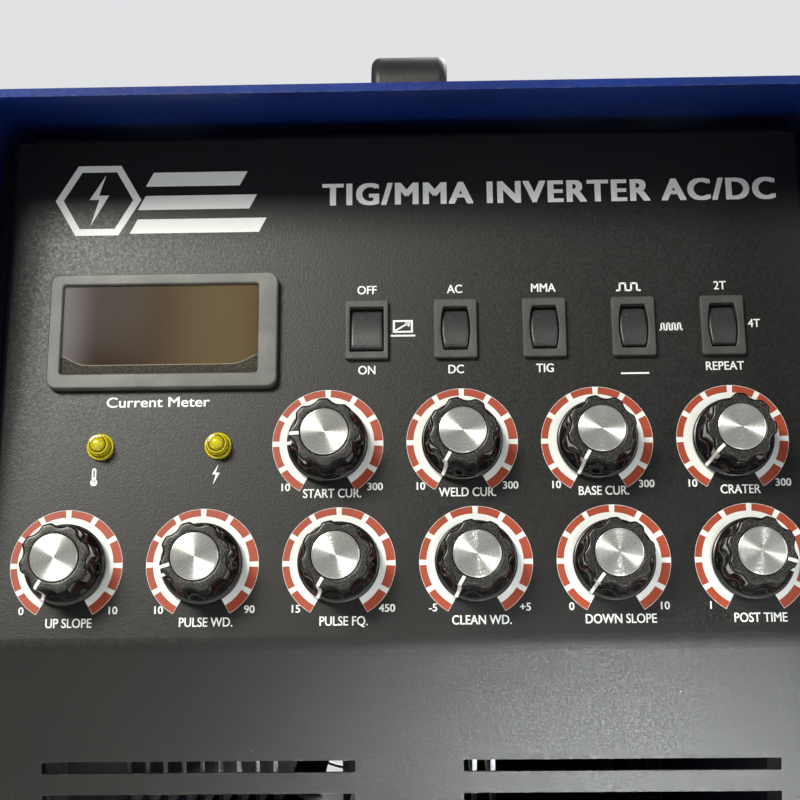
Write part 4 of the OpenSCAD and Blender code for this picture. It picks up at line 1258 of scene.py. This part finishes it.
BREAKER = REAR @ at(-95, 330)
LEVER_W = -4
breaker = Solid().slab(rect(36, 45, 1.5, 5), [rect(26.8, 24, 0.6, 3)], -16.02, 3, 1, 4, place=BREAKER)
breaker.slab(rect(36, 82, 1, 3), [], -60, -16, 0.8, 3, True, BREAKER)
for y in (-36.08, 36.08):
    breaker.slab(rect(30, 6, 0.5, 3), [], -16.5, -14.5, 0.5, 2, place=BREAKER @ at(0, y))
breaker.stand_in("breaker_body", "breaker_plastic")

axle = BREAKER @ at(0, 0, LEVER_W) @ turned(90, "Y")
paddle = BREAKER @ at(0, 0, LEVER_W) @ turned(40, "X")
PADDLE = [(24, 4.4, 1.2, 5), (24, 4.4, 1.2, 9), (24, 4, 1.5, 13), (24, 4.2, 1.8, 16.6), (23.6, 3.8, 1.7, 18),
          (22.8, 3, 1.4, 18.7), (21.5, 1.8, 0.8, 19)]
lever = Solid().rod(8, -13, 13, 0.8, axle, 64).rod(2, -15.5, 15.5, 0.3, axle)
lever.loft([frame_loop((0, 0), *step) for step in PADDLE], paddle)
for z in (9.6, 11.6, 13.6, 15.6):
    lever.slab(rect(19, 4.9, 0.6, 3), [], z, z + 0.9, 0.35, 2, True, paddle)
lever.stand_in("breaker_lever", "lever_plastic", "breaker")

marks = Ink(3, 3.04)
marks.bar((0, 15.6), (0, 19.2), 0.9)
marks.patch(ring(2, 32, (0, -17.4)), [ring(1.2, 32, (0, -17.4))])
marks.piece("breaker_marks", MATERIALS["lever_plastic"], "breaker_plastic", BREAKER)


# ---- Mains gland, gas inlet and earth stud ----

GLAND = REAR @ at(-95, 250)
gland = Solid().tube([(8, -12), (15.4, -12), (15.8, -11.6), (15.8, 0.02), (8, 0.02)], 64, GLAND)
hexed(gland, 36, 0, 7, 8, GLAND)
hexed(gland, 36, -7, -1.5, 15.85, GLAND)
DOME = [(8, 6.9), (16.2, 6.9), (16.5, 7.6), (17, 9), (17, 13), (17, 18), (17, 22.6), (16.6, 24), (15.6, 25.6),
        (14.4, 27), (13.2, 27.8), (12.2, 28), (11.7, 27.6), (11.6, 21), (8, 21)]


def ribbed(i, angle, r):
    """Grip ribs round the gland's dome nut."""
    wave = cos(18 * angle)
    return r - 0.55 * smooth(wave, -0.2, 0.9) if 3 <= i <= 6 else r


gland.lathe(DOME, 216, ribbed, GLAND, True)
gland.stand_in("cable_gland", "black_plastic")
SEAL = [(8, 20.9), (11.55, 20.9), (11.55, 25.6), (10.8, 26.6), (9.4, 27), (8.4, 26.6), (8, 25.8)]
Solid().tube(SEAL, 64, GLAND).piece("cable_gland_seal", "root", "rubber")

INLET = REAR @ at(-128, 100)
inlet = Solid().tube([(2, -14), (5.5, -14), (5.9, -13.6), (5.9, 0.5), (2, 0.5)], 40, INLET)
hexed(inlet, 17, 0, 7, 2, INLET)
hexed(inlet, 17, -6, -1.5, 5.95, INLET)
nipple = [(2, 6.9), (4, 6.9), (4, 10.9), (3.4, 11.1)]
for k in range(4):
    nipple += [(4, 11.6 + 3.6 * k), (3.95, 12 + 3.6 * k), (3.35, 14.9 + 3.6 * k)]
inlet.tube(nipple + [(2.5, 26), (2, 25.6)], 40, INLET)
inlet.stand_in("gas_inlet", "brass")

EARTH = REAR @ at(-95, 50)
earth = threaded_rod(Solid(), 4, 7.9, 19.98, 1.25, 0.6, EARTH)
earth.rod(3.3, -12, 8, 0.3, EARTH)
hexed(earth, 13, 1.6, 8, 3.35, EARTH)
hexed(earth, 13, -8, -1.5, 3.35, EARTH)
earth.slab(ring(8, 48), [ring(4.05, 32)], 0, 1.6, 0.25, 2, True, EARTH)
earth.stand_in("earth_stud", "brass")


# ---- Carried-over CAD nodes take the material of their slot ----

for name, node in frame["nodes"].items():
    node.data.materials.clear()
    node.data.materials.append(MATERIALS[SLOT_OF[name]])


# ---- Studio: pale floor, soft light ----

WORLD_LIGHT, WORLD_SEEN = 0.17, 0.8


def facing(direction):
    """Turn that points a lamp's back along a direction."""
    return direction.to_track_quat("Z", "Y").to_matrix().to_4x4()


def soft_light(name, face_point, aim, size, power, colour, spread=180):
    """Area light at a point of the control face's frame, in mm, aimed at another."""
    lamp = bpy.data.lights.new(name, "AREA")
    lamp.shape = "RECTANGLE"
    lamp.size, lamp.size_y = size
    lamp.energy = power
    lamp.color = colour
    lamp.spread = radians(spread)
    start = PANEL @ (Vector(face_point) * MM)
    end = PANEL @ (Vector(aim) * MM)
    put(name, lamp, Matrix.Translation(start) @ facing(start - end))


soft_light("key", (-700, 660, 1090), (-90, 60, 0), (0.42, 0.42), 15.5, (1, 0.97, 0.88))
soft_light("sheen", (-430, 560, 1028), (-90, 60, 0), (0.3, 0.3), 6, (1, 0.97, 0.88))
soft_light("right_fill", (1500, 300, 1200), (0, 60, 0), (0.9, 0.9), 9, (0.96, 0.98, 1))
soft_light("low", (165, -383, 734), (92, -170, -20), (0.2, 0.1), 0.38, (0.95, 0.99, 1), 27)

back_sun = bpy.data.lights.new("back_sun", "SUN")
back_sun.energy = 2.6
back_sun.angle = radians(40)
put("back_sun", back_sun, facing(Vector((0.35, 0.7, 0.62))))

FLOOR_WIDE = 16
floor_mesh = bpy.data.meshes.new("floor")
floor_mesh.from_pydata([(x, y, 0) for x, y in rect(FLOOR_WIDE, FLOOR_WIDE)], [], [(0, 1, 2, 3)])
floor = put("floor", floor_mesh, Matrix())
paint = Shader("floor_paint")
floor_mesh.materials.append(paint.done(
    Base_Color=paint.mix(paint.noise(400, 3), linear(222, 222, 219), linear(228, 228, 226)), Roughness=0.6))

world = bpy.data.worlds.new("studio")
world.use_nodes = True
sky = world.node_tree.nodes
seen = sky.new("ShaderNodeLightPath").outputs["Is Camera Ray"]
strength = sky.new("ShaderNodeMapRange")
strength.inputs["To Min"].default_value = WORLD_LIGHT
strength.inputs["To Max"].default_value = WORLD_SEEN
world.node_tree.links.new(seen, strength.inputs["Value"])
world.node_tree.links.new(strength.outputs[0], sky["Background"].inputs["Strength"])
sky["Background"].inputs["Color"].default_value = (0.94, 0.95, 0.97, 1)
bpy.context.scene.world = world
bpy.context.scene.view_settings.view_transform = "Standard"

box = [list(v) for v in CAD_BOX]
